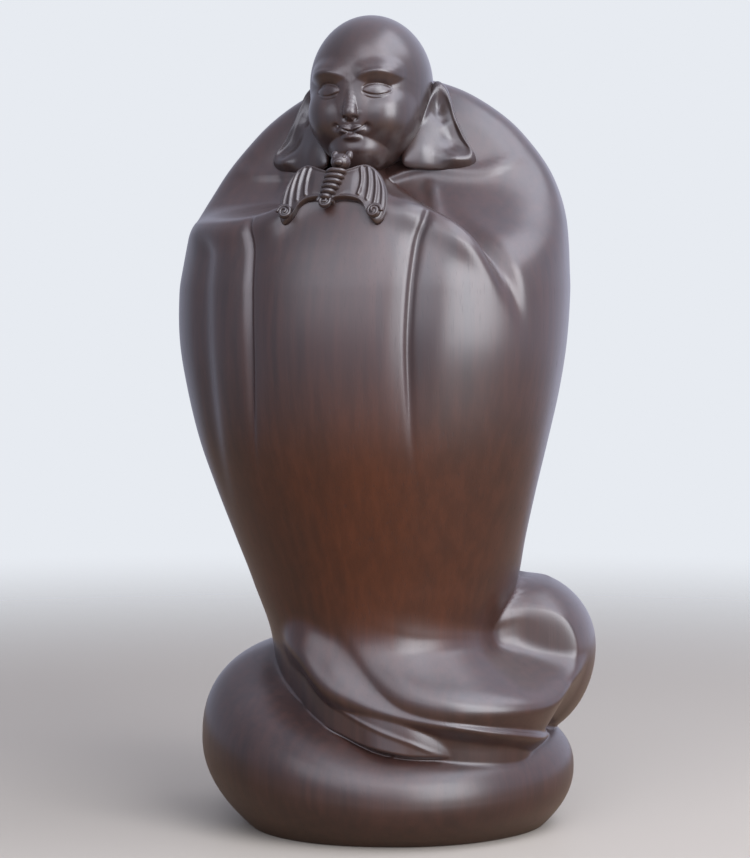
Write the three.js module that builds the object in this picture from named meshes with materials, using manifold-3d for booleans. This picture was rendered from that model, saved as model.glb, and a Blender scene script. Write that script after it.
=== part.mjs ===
// A carved ebony figure of a bald monk in a long robe. The robe swells at the shoulders and the
// joined sleeves, narrows to the ankles, and sweeps out below into a train that lies in one coil.
// A small bat rests on the sleeves. It is glued up from four carved blocks with round dowels.
// Millimetres, +Z up. The figure faces -Y and z = 0 is the face it stands on. Bearings are in
// degrees about the upright axis, 0 at the front and positive towards +X.

import * as THREE from "three";
import { mergeVertices } from "three/addons/utils/BufferGeometryUtils.js";
import Module from "manifold-3d";

const wasm = await Module();
wasm.setup();

// Robe: its top, its widest half, and its reach in front of and behind the axis
const ROBE_HEIGHT = 377;
const ROBE_HALF_WIDTH = 98.5;
const ROBE_FRONT = 99;
const ROBE_BACK = 62;
const SLEEVE_EDGE_HEIGHT = 312;
const SLEEVE_EDGE_BEAD = 3;
const ARMPIT_DEPTH = 6;
const COLLAR_HEIGHT = 329;
const COLLAR_BEAD = 2.6;
const NECKLINE_BEAD = 1.6;
const NECKLINE_BEARING = 48;
const SEAM_BEARING = 32.5;
const SEAM_DEPTH = 4;
const SLEEVE_FOLD_BEARING = 54.5;
const SLEEVE_FOLD_DEPTH = 2.6;

// Train: the swept-out rim, the hem under it, the loose tongue of cloth and the rolled-up end
const RIM_HEIGHT = 108;
const RIM_REACH = 97;
const RIM_ROUND = 18;
const COVE_ROUND = 7;
const HEM_HEIGHT = 99;
const HEM_REACH = 95;
const TONGUE_HEIGHT = 84;
const TONGUE_REACH = 82.5;
const PANEL_DEPTH = 6.5;
const PANEL_DROP = 22;
const ROLL_OUT = 67;
const ROLL_BEARING = 117;
const ROLL_HEIGHT = 88.5;
const ROLL_HALF_WIDTH = 40;
const ROLL_HALF_DEPTH = 48;
const ROLL_HALF_HEIGHT = 38;
const ROLL_FACE_BEARING = 18;
const ROLL_FACE_OUT = 25;
const ROLL_LIP_HEIGHT = 72;
const ROLL_BOWL = 24;
const ROLL_BOWL_TOP = 100;
const ROLL_BOWL_HEIGHT = 28;
const ROLL_DISH = 3;
const ROLL_DISH_ACROSS = 79;
const ROLL_DISH_HEIGHT = 92;
const ROLL_DISH_HALF_WIDTH = 19;
const ROLL_DISH_HALF_HEIGHT = 26;

// Coil that the figure stands on
const COIL_HEIGHT = 93;
const COIL_RADIUS = 95;
const COIL_CORE = 30;
const PLAIN_HEIGHT = 1.5 * RIM_HEIGHT;

// Head, with its middle this far in front of the axis
const HEAD_TOP = 404;
const HEAD_FORWARD = 28;
const HEAD_WIDTH = 62;
const HEAD_DEPTH = 70;
const HEAD_HEIGHT = 77;
const NOSE_LENGTH = 19;
const NOSE_RISE = 5;
const NOSE_WIDTH = 8.4;
const EAR_LENGTH = 46;
const EAR_THICKNESS = 6.5;
const EAR_OUT = 5;
const EAR_BACK = 4;
const EAR_DROP = 19.5;

// Bat
const BAT_SPAN = 53;
const BAT_WING_HEIGHT = 29;
const BAT_WING_THICKNESS = 6;
const BAT_BODY_LENGTH = 20;
const BAT_BODY_WIDTH = 10.5;
const BAT_BODY_ANGLE = 14;
const BAT_BODY_RISE = 4;
const BAT_HEAD_WIDTH = 10.4;
const BAT_CURL_WIDTH = 7;
const BAT_LEAN_ANGLE = 24;
const BAT_OUT = 83;
const BAT_HEIGHT = 316;

// Glued joints
const GLUE_GAP = 0.35;
const JOINT_HEIGHT = 68;
const JOINT_LEAN_ANGLE = 23.18;
const JOINT_RISE_BEARING = -118.3;
const BASE_DOWEL_DIAMETER = 12;
const BASE_DOWEL_LENGTH = 40;
const BASE_DOWEL_CIRCLE = 30;
const BASE_DOWEL_COUNT = 3;
const NECK_DOWEL_DIAMETER = 16;
const NECK_DOWEL_LENGTH = 46;
const NECK_DOWEL_IN_HEAD = 20;
const NECK_DOWEL_ANGLE = 37;
const BAT_PEG_DIAMETER = 4;
const BAT_PEG_LENGTH = 16;
const BAT_PEG_SPACING = 22;
const DOWEL_CHAMFER = 1;

const DEG = Math.PI / 180;
const JOINT_SLOPE_X = Math.tan(JOINT_LEAN_ANGLE * DEG) * Math.sin(JOINT_RISE_BEARING * DEG);
const JOINT_SLOPE_Y = -Math.tan(JOINT_LEAN_ANGLE * DEG) * Math.cos(JOINT_RISE_BEARING * DEG);
const clamp01 = (t) => Math.min(1, Math.max(0, t));
const mix = (a, b, t) => a + (b - a) * t;
const bell = (x, width) => Math.exp(-((x / width) ** 2));

function ease(from, to, x) {
  const t = clamp01((x - from) / (to - from));
  return t * t * (3 - 2 * t);
}

// The larger of two lengths, rounded by `soft` where they meet, and the smaller likewise.
function softMax(a, b, soft) {
  const h = clamp01(0.5 + (0.5 * (a - b)) / soft);
  return mix(b, a, h) + soft * h * (1 - h);
}
const softMin = (a, b, soft) => -softMax(-a, -b, soft);

// One column of a table at a place, on a smooth curve through its rows of [place, value, ...].
function through(rows, column, place) {
  const last = rows.length - 1;
  let i = 0;
  while (i < last - 1 && place > rows[i + 1][0]) i += 1;
  const slope = (k) => {
    const [a, b] = [rows[Math.max(0, k - 1)], rows[Math.min(last, k + 1)]];
    return (b[column] - a[column]) / (b[0] - a[0]);
  };
  const span = rows[i + 1][0] - rows[i][0];
  const t = clamp01((place - rows[i][0]) / span);
  const s = t * t * (3 - 2 * t);
  const bend = t * (1 - t) * span;
  const swing = slope(i) * (1 - t) - slope(i + 1) * t;
  return mix(rows[i][column], rows[i + 1][column], s) + bend * swing;
}

// The same for a table of bearings that closes on itself.
function around(rows, column, bearing) {
  const turn = 360;
  const first = rows[0];
  const last = rows[rows.length - 1];
  const wrapped = ((((bearing - first[0]) % turn) + turn) % turn) + first[0];
  const closed = [
    [last[0] - turn, ...last.slice(1)],
    ...rows,
    [first[0] + turn, ...first.slice(1)],
    [rows[1][0] + turn, ...rows[1].slice(1)],
  ];
  return through(closed, column, wrapped);
}

// Distance from the middle of an oval to its edge.
function oval(angle, half, front, back) {
  const along = Math.cos(angle) > 0 ? front : back;
  return 1 / Math.hypot(Math.sin(angle) / half, Math.cos(angle) / along);
}

// The robe from the floor to its top, in shares of its sizes: [height, half width, how far the
// widest line stands forward, front, back, chest above the sleeves].
const ROBE_LINES = [
  [0.0, 0.533, 0.03, 0.63, 0.76, 0.63],
  [0.244, 0.579, 0.03, 0.63, 0.76, 0.63],
  [0.326, 0.682, 0.04, 0.7, 0.825, 0.7],
  [0.39, 0.749, 0.14, 0.785, 0.84, 0.785],
  [0.454, 0.82, 0.222, 0.869, 0.88, 0.869],
  [0.517, 0.889, 0.273, 0.944, 0.91, 0.944],
  [0.584, 0.95, 0.283, 0.985, 0.945, 0.985],
  [0.647, 0.989, 0.288, 1.0, 0.975, 1.0],
  [0.711, 1, 0.263, 0.985, 1.0, 0.985],
  [0.743, 0.991, 0.235, 0.96, 1.0, 0.93],
  [0.776, 0.977, 0.192, 0.922, 1.0, 0.76],
  [0.809, 0.949, 0.121, 0.87, 0.985, 0.535],
  [0.841, 0.902, 0.05, 0.79, 0.96, 0.384],
  [0.873, 0.839, 0.01, 0.667, 0.903, 0.313],
  [0.905, 0.749, -0.01, 0.525, 0.806, 0.283],
  [0.936, 0.638, -0.015, 0.4, 0.677, 0.253],
  [0.963, 0.497, -0.01, 0.3, 0.532, 0.212],
  [0.981, 0.365, 0.0, 0.172, 0.403, 0.167],
  [0.995, 0.183, 0.0, 0.096, 0.202, 0.09],
  [1.0, 0, 0.0, 0.0, 0.0, 0.0],
];

// Upper edge of the joined sleeves, either side of the front: [bearing, height]. It stands
// higher behind the bat.
const SLEEVE_EDGE = [
  [0, 1.035],
  [12, 1.032],
  [20, 1.008],
  [27, 0.998],
  [36, 0.982],
  [46, 0.957],
  [56, 0.916],
  [64, 0.858],
  [72, 0.788],
  [180, 0.788],
];

// Collar across the chest under each ear: [bearing, height].
const COLLAR = [
  [0, 0.967],
  [20, 0.985],
  [45, 1.0],
  [66, 0.994],
  [77, 1.01],
  [100, 1.04],
  [180, 1.06],
];

// Rim of the swept-out robe: [bearing, height, reach, height of the sweep above it].
const RIM = [
  [-92, 0.88, 0.454, 0.296],
  [-42, 0.88, 0.5, 0.355],
  [-24, 0.88, 0.536, 0.386],
  [-12, 0.835, 0.572, 0.384],
  [0, 0.768, 0.619, 0.376],
  [12, 0.715, 0.69, 0.336],
  [24, 0.68, 0.773, 0.328],
  [35, 0.658, 0.84, 0.328],
  [46, 0.648, 0.897, 0.328],
  [63, 0.645, 0.969, 0.312],
  [75, 0.65, 0.985, 0.288],
  [84, 0.69, 0.985, 0.24],
  [97, 0.77, 0.97, 0.224],
  [110, 0.87, 0.866, 0.32],
  [128, 0.981, 0.784, 0.416],
  [168, 1.0, 0.66, 0.386],
  [198, 1.0, 0.577, 0.355],
  [233, 0.963, 0.474, 0.326],
];

// Lower edge of the hem: [bearing, height, reach].
const HEM = [
  [-82, 0.96, 0.45],
  [-45, 0.965, 0.5],
  [-32, 0.94, 0.53],
  [-22, 0.9, 0.56],
  [-8, 0.757, 0.623],
  [7, 0.696, 0.69],
  [20.5, 0.657, 0.768],
  [30, 0.634, 0.826],
  [43.5, 0.602, 0.902],
  [53, 0.576, 0.94],
  [62, 0.5525, 0.969],
  [72, 0.521, 0.975],
  [84, 0.5, 0.92],
  [102, 0.48, 0.86],
  [128, 0.525, 0.9],
  [168, 0.667, 0.8],
  [203, 0.808, 0.526],
];

// The loose tongue: [bearing, height of its lower edge, height of the crest above that, reach].
const TONGUE = [
  [-92, 0.952, 1.2, 0.51],
  [-60, 0.94, 1.2, 0.635],
  [-50, 0.9, 1.22, 0.655],
  [-37, 0.833, 1.13, 0.7],
  [-28, 0.795, 1.03, 0.738],
  [-21, 0.756, 0.94, 0.77],
  [-10, 0.706, 0.848, 0.81],
  [0, 0.661, 0.783, 0.842],
  [6, 0.629, 0.742, 0.868],
  [16, 0.584, 0.682, 0.912],
  [26, 0.557, 0.625, 0.935],
  [35, 0.542, 0.565, 0.937],
  [42, 0.53, 0.53, 0.925],
  [48, 0.524, 0.524, 0.88],
  [58, 0.524, 0.524, 0.727],
];

// The coil: [bearing, height of its widest line, rise above that, reach, reach at the floor].
const COIL = [
  [-117, 0.495, 0.516, 0.905, 0.716],
  [-72, 0.473, 0.527, 0.979, 0.726],
  [-44, 0.419, 0.408, 0.958, 0.716],
  [-17, 0.323, 0.376, 0.921, 0.7],
  [18, 0.247, 0.3, 0.9, 0.684],
  [63, 0.258, 0.315, 0.937, 0.747],
  [108, 0.312, 0.32, 1.0, 0.842],
  [153, 0.366, 0.344, 0.937, 0.779],
  [198, 0.452, 0.473, 0.853, 0.716],
];

// The robe's lines as lengths, placed along its side by the length of that line.
function robeSide() {
  const rows = ROBE_LINES.map(([height, half, middle, front, back, chest]) => [
    0,
    height * ROBE_HEIGHT,
    half * ROBE_HALF_WIDTH,
    middle * ROBE_FRONT,
    front * ROBE_FRONT,
    back * ROBE_BACK,
    chest * ROBE_FRONT,
  ]);
  const beyond = [0, rows.at(-2)[1], ...rows.at(-2).slice(2).map((value) => -value)];
  rows.push(beyond);
  for (let i = 1; i < rows.length; i += 1) {
    const [a, b] = [rows[i - 1], rows[i]];
    rows[i][0] = a[0] + Math.hypot(b[1] - a[1], b[2] - a[2]);
  }
  return rows;
}
const SIDE = robeSide();
const SIDE_LENGTH = SIDE.at(-2)[0];

function placeAt(z) {
  const i = Math.max(1, SIDE.findIndex((row) => row[1] >= z));
  const [a, b] = [SIDE[i - 1], SIDE[i]];
  return mix(a[0], b[0], (z - a[1]) / (b[1] - a[1]));
}

function robeLine(place) {
  const [z, half, middle, front, back, chest] = [1, 2, 3, 4, 5, 6].map((column) =>
    through(SIDE, column, place),
  );
  const least = 1e-6;
  const wide = (value) => Math.max(value, least);
  return {
    z,
    middle,
    half: wide(half),
    front: wide(front - middle),
    back: wide(back + middle),
    chest: wide(chest - middle),
  };
}

// The chest and shoulders above the sleeves, with a collar and a fold of the neckline each side.
function chestRadius(angle, side, line) {
  let r = oval(angle, line.half, line.chest, line.back);
  const collar = through(COLLAR, 1, side) * COLLAR_HEIGHT;
  r += COLLAR_BEAD * bell(line.z - collar, 3) * ease(8, 20, side) * (1 - ease(70, 85, side));
  const belowCollar = COLLAR_HEIGHT - line.z;
  const run = ease(4, 12, belowCollar) * (1 - ease(20, 28, belowCollar));
  r += NECKLINE_BEAD * bell(side - NECKLINE_BEARING, 3) * run;
  return r;
}

// Seams down the front and a fold along the right sleeve, sunk into the robe.
function seamDepth(side, bearing, z) {
  const bow = 0.0006 * (z - 0.66 * ROBE_HEIGHT) ** 2;
  const top = 1 - ease(SLEEVE_EDGE_HEIGHT - 10, SLEEVE_EDGE_HEIGHT + 1, z);
  const off = side - SEAM_BEARING - bow;
  const seam = (SEAM_DEPTH / 2) * (bell(off, 1.5) + bell(off, 7));
  const fold = SLEEVE_FOLD_DEPTH * bell(-bearing - SLEEVE_FOLD_BEARING - bow, 5);
  const fadeSeam = ease(0.46, 0.64, z / ROBE_HEIGHT);
  const fadeFold = ease(0.4, 0.61, z / ROBE_HEIGHT) * (1 - ease(0.755, 0.795, z / ROBE_HEIGHT));
  return seam * fadeSeam * top + fold * fadeFold;
}

// The standing robe: an egg, cut back to the chest above the edge of the sleeves.
function robeRadius(angle, line) {
  const bearing = angle / DEG;
  const side = Math.abs(bearing);
  const egg = oval(angle, line.half, line.front, line.back);
  const over = line.z - through(SLEEVE_EDGE, 1, side) * SLEEVE_EDGE_HEIGHT;
  const hollow = Math.max(egg - chestRadius(angle, side, line), 0);
  let r = egg - hollow * ease(-2, 9, over);
  r += SLEEVE_EDGE_BEAD * bell(over + 6, 7) * (1 - ease(48, 62, side));
  r -= ARMPIT_DEPTH * bell(side - 59, 7) * bell(over - 8, 10);
  return r - seamDepth(side, bearing, line.z);
}

// Where the robe sweeps out to its rim, and the underside below the rim.
function sweptRadius(bearing, line, robe) {
  const [height, reach, sweep] = [1, 2, 3].map((column) => around(RIM, column, bearing));
  const up = line.z - height * RIM_HEIGHT;
  const edge = reach * RIM_REACH + RIM_ROUND / 4;
  const beyond = Math.max(edge - robe, 0);
  const rest = 1 - Math.min(2, Math.max(-1, up / (sweep * RIM_HEIGHT)));
  const cove = robe + beyond * rest * Math.abs(rest) ** 0.4;
  const soft = Math.min(0.3 + 0.3 * beyond, COVE_ROUND);
  return softMax(softMin(cove, edge + 0.6 * up, RIM_ROUND), robe, soft);
}

// A ridge of cloth: it falls away from its edge by `above` and `below` a millimetre of height.
function ridge(up, reach, round, above, below) {
  const arch = Math.hypot(up, round) - round;
  return reach - ((above + below) / 2) * arch - ((above - below) / 2) * up;
}

// The tongue: its face leans back up to the crest, and slopes down behind that to the hem.
function tongueRadius(bearing, z, hemHeight, hemReach) {
  const low = around(TONGUE, 1, bearing) * TONGUE_HEIGHT;
  const crest = around(TONGUE, 2, bearing) * TONGUE_HEIGHT;
  const reach = around(TONGUE, 3, bearing) * TONGUE_REACH;
  const lean = 0.22;
  const front = ridge(z - low, reach, 0.7, lean, 2.2);
  const crestReach = reach - lean * (crest - low);
  const back = (crestReach - hemReach + 1) / Math.max(hemHeight - crest, 3);
  const steepest = 1.6;
  const behind = crestReach - Math.min(Math.max(back, 0), steepest) * (z - crest);
  const tongue = softMin(front, behind, mix(8, 0.8, ease(-38, -18, bearing)));
  return softMin(tongue, hemReach - steepest * (z - Math.max(hemHeight, crest)), 1.5);
}

// The hem, the cloth set back under it, and the tongue that lies on that cloth.
function foldRadius(bearing, z) {
  const hemHeight = around(HEM, 1, bearing) * HEM_HEIGHT;
  const hemReach = around(HEM, 2, bearing) * HEM_REACH;
  const hemUp = z - hemHeight;
  const hem = ridge(hemUp, hemReach, mix(8, 0.8, ease(-22, 14, bearing)), 1.5, 1.3);
  const foot = 0.8 * Math.max(-hemUp - PANEL_DROP, 0);
  const panel = hemReach + softMin(0.1 * hemUp - PANEL_DEPTH, -2 * hemUp, 1.5) - foot;
  const tongue = tongueRadius(bearing, z, hemHeight, hemReach);
  return softMax(softMax(tongue, panel, 0.8), hem, 0.8);
}

// The rolled-up end of the train: part of an ellipsoid, longer below its widest line. Where it
// faces forward it is flat with a shallow dish, and its foot comes forward to a lip.
function rollRadius(angle, line) {
  const turn = ROLL_FACE_BEARING * DEG;
  const at = (ROLL_BEARING - ROLL_FACE_BEARING) * DEG;
  const right = ROLL_OUT * Math.sin(at) + line.middle * Math.sin(turn);
  const near = ROLL_OUT * Math.cos(at) - line.middle * Math.cos(turn);
  const [dx, dn] = [Math.sin(angle - turn), Math.cos(angle - turn)];
  const [a, b] = [ROLL_HALF_WIDTH, ROLL_HALF_DEPTH];
  const c = ROLL_HALF_HEIGHT * (line.z < ROLL_HEIGHT ? 1.26 : 1);
  const qa = (dx / a) ** 2 + (dn / b) ** 2;
  const qb = (dx * right) / a ** 2 + (dn * near) / b ** 2;
  const qc = (right / a) ** 2 + (near / b) ** 2 + ((line.z - ROLL_HEIGHT) / c) ** 2 - 1;
  const root = qb * qb - qa * qc;
  if (root <= 0) return 0;
  const far = Math.max(0, (qb + Math.sqrt(root)) / qa);
  const least = 0.02;
  if (dn <= least) return far;
  const bowl = ROLL_BOWL * (Math.max(ROLL_BOWL_TOP - line.z, 0) / ROLL_BOWL_HEIGHT) ** 2;
  const under = ROLL_BOWL + 0.8 * (line.z - ROLL_LIP_HEIGHT);
  const out = ROLL_FACE_OUT + softMin(bowl, under, 8) - line.middle * Math.cos(turn);
  const over = (out * dx) / dn - line.middle * Math.sin(turn) - ROLL_DISH_ACROSS;
  const above = line.z - ROLL_DISH_HEIGHT;
  const off = (over / ROLL_DISH_HALF_WIDTH) ** 2 + (above / ROLL_DISH_HALF_HEIGHT) ** 2;
  const dish = ROLL_DISH * bell(off, 1);
  return softMin(far, Math.max((out - dish) / dn, 0), 10);
}

function coilRadius(bearing, z) {
  const [level, rise, reach, foot] = [1, 2, 3, 4].map((column) => around(COIL, column, bearing));
  const up = z - level * COIL_HEIGHT;
  const out = reach * COIL_RADIUS;
  if (up < 0) {
    const down = up / (level * COIL_HEIGHT);
    return mix(out, foot * COIL_RADIUS, down * down);
  }
  const t = up / (rise * COIL_HEIGHT);
  return t < 1 ? mix(COIL_CORE, out, (1 - t ** 2.5) ** 0.4) : 0;
}

// The whole carving below the neck: distance from the robe's middle line at a bearing.
function carvedRadius(angle, line) {
  const bearing = angle / DEG;
  const robe = robeRadius(angle, line);
  const plain = ease(PLAIN_HEIGHT - 15, PLAIN_HEIGHT, line.z);
  if (plain === 1) return robe;
  const coil = softMax(coilRadius(bearing, line.z), foldRadius(bearing, line.z), 1.4);
  const upper = softMax(sweptRadius(bearing, line, robe), rollRadius(angle, line), 12);
  return mix(softMax(coil, upper, 2), robe, plain);
}

// A point of the skin at a bearing, in degrees, on one of the robe's lines.
function carvedPoint(bearing, line) {
  const angle = bearing * DEG;
  const r = carvedRadius(angle, line);
  return new THREE.Vector3(r * Math.sin(angle), -line.middle - r * Math.cos(angle), line.z);
}

// How far the slanted joint rises above its height at the axis, this far out at a bearing.
const jointRise = (bearing, out) =>
  out * (JOINT_SLOPE_X * Math.sin(bearing * DEG) - JOINT_SLOPE_Y * Math.cos(bearing * DEG));

// Low down, the rings of points keep to the joint, the hem and the rim: `level` runs from 0 at
// the floor through those three to 4, where the robe is plain.
function lowLine(bearing, level) {
  const spacing = 8;
  const joint = JOINT_HEIGHT + jointRise(bearing, 0.85 * COIL_RADIUS);
  const hem = Math.max(around(HEM, 1, bearing) * HEM_HEIGHT, joint + spacing);
  const rim = Math.max(around(RIM, 1, bearing) * RIM_HEIGHT, hem + spacing);
  const heights = [0, joint, hem, rim, PLAIN_HEIGHT];
  const i = Math.min(3, Math.floor(level));
  return robeLine(placeAt(mix(heights[i], heights[i + 1], level - i)));
}

// Higher up, they keep to the upper edge of the sleeves, and level out at the top.
function highLine(bearing, place) {
  const drop = (through(SLEEVE_EDGE, 1, Math.abs(bearing)) - 1) * SLEEVE_EDGE_HEIGHT;
  const edge = placeAt(SLEEVE_EDGE_HEIGHT);
  const share = ease(PLAIN_HEIGHT, edge, place) * (1 - ease(edge, SIDE_LENGTH - 25, place));
  return robeLine(place + drop * share);
}

// Evenly stepped values: up to each [limit, step] in turn.
function steps(start, stretches) {
  const values = [start];
  let from = start;
  for (const [limit, step] of stretches) {
    const count = Math.max(1, Math.round((limit - from) / step));
    for (let i = 1; i <= count; i += 1) values.push(mix(from, limit, i / count));
    from = limit;
  }
  return values;
}

// A closed skin over rings of points, all with the same count, from a first point to a last one.
function skin(first, rings, last) {
  const points = [first, ...rings.flat(), last];
  const count = rings[0].length;
  const at = (ring, i) => 1 + ring * count + (i % count);
  const end = points.length - 1;
  const index = [];
  for (let i = 0; i < count; i += 1) {
    index.push(0, at(0, i + 1), at(0, i));
    index.push(end, at(rings.length - 1, i), at(rings.length - 1, i + 1));
    for (let ring = 0; ring < rings.length - 1; ring += 1) {
      const [a, b] = [at(ring, i), at(ring, i + 1)];
      const [c, d] = [at(ring + 1, i + 1), at(ring + 1, i)];
      index.push(a, b, c, a, c, d);
    }
  }
  const geometry = new THREE.BufferGeometry().setFromPoints(points);
  geometry.setIndex(index);
  return geometry;
}

// three.js geometry to a manifold-3d solid, and back.
function solid(geometry) {
  const bare = geometry.clone();
  bare.deleteAttribute("normal");
  bare.deleteAttribute("uv");
  const merged = mergeVertices(bare, 1e-4);
  const mesh = new wasm.Mesh({
    numProp: 3,
    vertProperties: new Float32Array(merged.attributes.position.array),
    triVerts: new Uint32Array(merged.index.array),
  });
  mesh.merge();
  return new wasm.Manifold(mesh);
}

// The largest piece alone, so that a cut leaves no crumb behind.
function largest(shape) {
  const pieces = shape.decompose();
  return pieces.reduce((best, piece) => (piece.volume() > best.volume() ? piece : best));
}

function mesh(name, shape, colour, roughness) {
  const data = largest(shape).getMesh();
  const geometry = new THREE.BufferGeometry();
  geometry.setAttribute("position", new THREE.BufferAttribute(data.vertProperties, 3));
  geometry.setIndex(new THREE.BufferAttribute(data.triVerts, 1));
  geometry.computeVertexNormals();
  const material = new THREE.MeshStandardMaterial({ color: colour, roughness, metalness: 0 });
  const result = new THREE.Mesh(geometry, material);
  result.name = name;
  return result;
}

// The robe and its coil as one skin, closer set where the cloth folds, grown by `clearance`.
function carving(clearance = 0) {
  const bearings = steps(-180, [[-100, 10], [84, 6], [114, 3.75], [180, 9.5]]).slice(1);
  const levels = steps(0, [[1, 0.111], [2, 0.2], [3, 0.167], [4, 0.111]]);
  const edge = placeAt(SLEEVE_EDGE_HEIGHT);
  const places = steps(placeAt(PLAIN_HEIGHT), [[edge - 18, 14], [edge + 24, 4.7], [SIDE_LENGTH, 9]]);
  const rings = [
    ...levels.map((level) => bearings.map((b) => carvedPoint(b, lowLine(b, level)))),
    ...places.slice(1, -1).map((place) => bearings.map((b) => carvedPoint(b, highLine(b, place)))),
  ];
  const floor = new THREE.Vector3(0, 0, 0);
  const crown = new THREE.Vector3(0, 0, ROBE_HEIGHT);
  const geometry = skin(floor, rings, crown);
  if (clearance === 0) return geometry;
  geometry.computeVertexNormals();
  const { position, normal } = geometry.attributes;
  const [p, n] = [new THREE.Vector3(), new THREE.Vector3()];
  for (let i = 0; i < position.count; i += 1) {
    p.fromBufferAttribute(position, i).addScaledVector(n.fromBufferAttribute(normal, i), clearance);
    position.setXYZ(i, p.x, p.y, p.z);
  }
  return geometry;
}

// A round dowel with chamfered ends, its middle at `middle` and its length along `axis`.
function dowel(diameter, length, middle, axis, clearance = 0) {
  const [r, half] = [diameter / 2 + clearance, length / 2 + clearance];
  const chamfer = clearance > 0 ? 0 : DOWEL_CHAMFER;
  const profile = [
    new THREE.Vector2(0, -half),
    new THREE.Vector2(r - chamfer, -half),
    new THREE.Vector2(r, -half + chamfer),
    new THREE.Vector2(r, half - chamfer),
    new THREE.Vector2(r - chamfer, half),
    new THREE.Vector2(0, half),
  ].filter((point, i, all) => i === 0 || point.distanceTo(all[i - 1]) > 1e-6);
  const geometry = new THREE.LatheGeometry(profile, 16);
  const upright = new THREE.Vector3(0, 1, 0);
  geometry.applyQuaternion(new THREE.Quaternion().setFromUnitVectors(upright, axis));
  geometry.translate(middle.x, middle.y, middle.z);
  return solid(geometry);
}

// The slanted joint between the robe and the coil follows the crease where the robe rests on it.
const jointNormal = new THREE.Vector3(-JOINT_SLOPE_X, -JOINT_SLOPE_Y, 1).normalize();
const jointOffset = JOINT_HEIGHT * jointNormal.z;

function baseDowels() {
  return Array.from({ length: BASE_DOWEL_COUNT }, (_, i) => {
    const turn = ((i + 0.5) / BASE_DOWEL_COUNT) * 2 * Math.PI;
    const [x, y] = [BASE_DOWEL_CIRCLE * Math.sin(turn), -BASE_DOWEL_CIRCLE * Math.cos(turn)];
    const middle = new THREE.Vector3(x, y, JOINT_HEIGHT + JOINT_SLOPE_X * x + JOINT_SLOPE_Y * y);
    return [BASE_DOWEL_DIAMETER, BASE_DOWEL_LENGTH, middle, jointNormal];
  });
}

// Head and neck
const headMiddle = new THREE.Vector3(0, -HEAD_FORWARD, HEAD_TOP - HEAD_HEIGHT / 2);
const neckTilt = NECK_DOWEL_ANGLE * DEG;
const neckAxis = new THREE.Vector3(0, Math.sin(neckTilt), -Math.cos(neckTilt));

// Distance along a ray from the head's middle to the far side of an egg inside it.
function eggDistance(ray, centre, radii) {
  const d = ray.clone().divide(radii);
  const c = centre.clone().divide(radii);
  const along = d.dot(c);
  const root = along * along - d.lengthSq() * (c.lengthSq() - 1);
  return root > 0 ? Math.max(0, (along + Math.sqrt(root)) / d.lengthSq()) : 0;
}

// Skull, jaw, cheeks, chin, brow, nose and lips: [x, y, z, half width, half depth, half height,
// softness of the join], in shares of the head's half sizes, those off the middle on both sides.
const HEAD_FORMS = [
  [0, 0.05, 0.1, 0.97, 0.94, 0.9, 0],
  [0, -0.16, -0.31, 0.85, 0.74, 0.69, 6],
  [0.42, -0.42, -0.3, 0.4, 0.42, 0.36, 6],
  [0, -0.5, -0.74, 0.36, 0.34, 0.26, 8],
  [0.3, -0.52, 0.2, 0.42, 0.37, 0.2, 4],
  [0.38, -0.62, -0.02, 0.2, 0.22, 0.12, 2],
  [0.1, -0.72, -0.5, 0.16, 0.185, 0.08, 1.5],
  [0, -0.72, -0.6, 0.2, 0.175, 0.08, 1.5],
];

function headRadius(ray, clearance = 0) {
  const half = new THREE.Vector3(HEAD_WIDTH, HEAD_DEPTH, HEAD_HEIGHT).multiplyScalar(0.5);
  let r = 0;
  for (const [x, y, z, a, b, c, soft] of HEAD_FORMS) {
    for (const side of x === 0 ? [1] : [-1, 1]) {
      const centre = new THREE.Vector3(x * side, y, z).multiply(half);
      const far = eggDistance(ray, centre, new THREE.Vector3(a, b, c).multiply(half));
      r = soft > 0 ? softMax(r, far, soft) : Math.max(r, far);
    }
  }
  return noseRadius(ray, r, half) + clearance;
}

// The nose: a row of eggs down its bridge, the tip and two wings.
function noseRadius(ray, face, half) {
  let r = face;
  const count = 5;
  for (let i = 0; i < count; i += 1) {
    const t = i / (count - 1);
    const out = 0.8 * half.y + NOSE_RISE * (t - 0.4);
    const centre = new THREE.Vector3(0, -out, 0.12 * half.z - 0.85 * NOSE_LENGTH * t);
    const size = mix(0.31, 0.5, t) * NOSE_WIDTH;
    r = softMax(r, eggDistance(ray, centre, new THREE.Vector3(size, size, size)), 1.6);
  }
  return r;
}

function head(clearance = 0) {
  const columns = 40;
  const levels = steps(-90, [[-54, 9], [26, 4.7], [90, 9.2]]).slice(1, -1);
  const point = (across, up) => {
    const turn = across - 0.55 * Math.sin(across);
    const flat = Math.cos(up);
    const ray = new THREE.Vector3(Math.sin(turn) * flat, -Math.cos(turn) * flat, Math.sin(up));
    return ray.clone().multiplyScalar(headRadius(ray, clearance)).add(headMiddle);
  };
  const rings = levels.map((up) =>
    Array.from({ length: columns }, (_, i) => point((i / columns - 0.5) * 2 * Math.PI, up * DEG)),
  );
  return solid(skin(point(0, -Math.PI / 2), rings, point(0, Math.PI / 2)));
}

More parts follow.
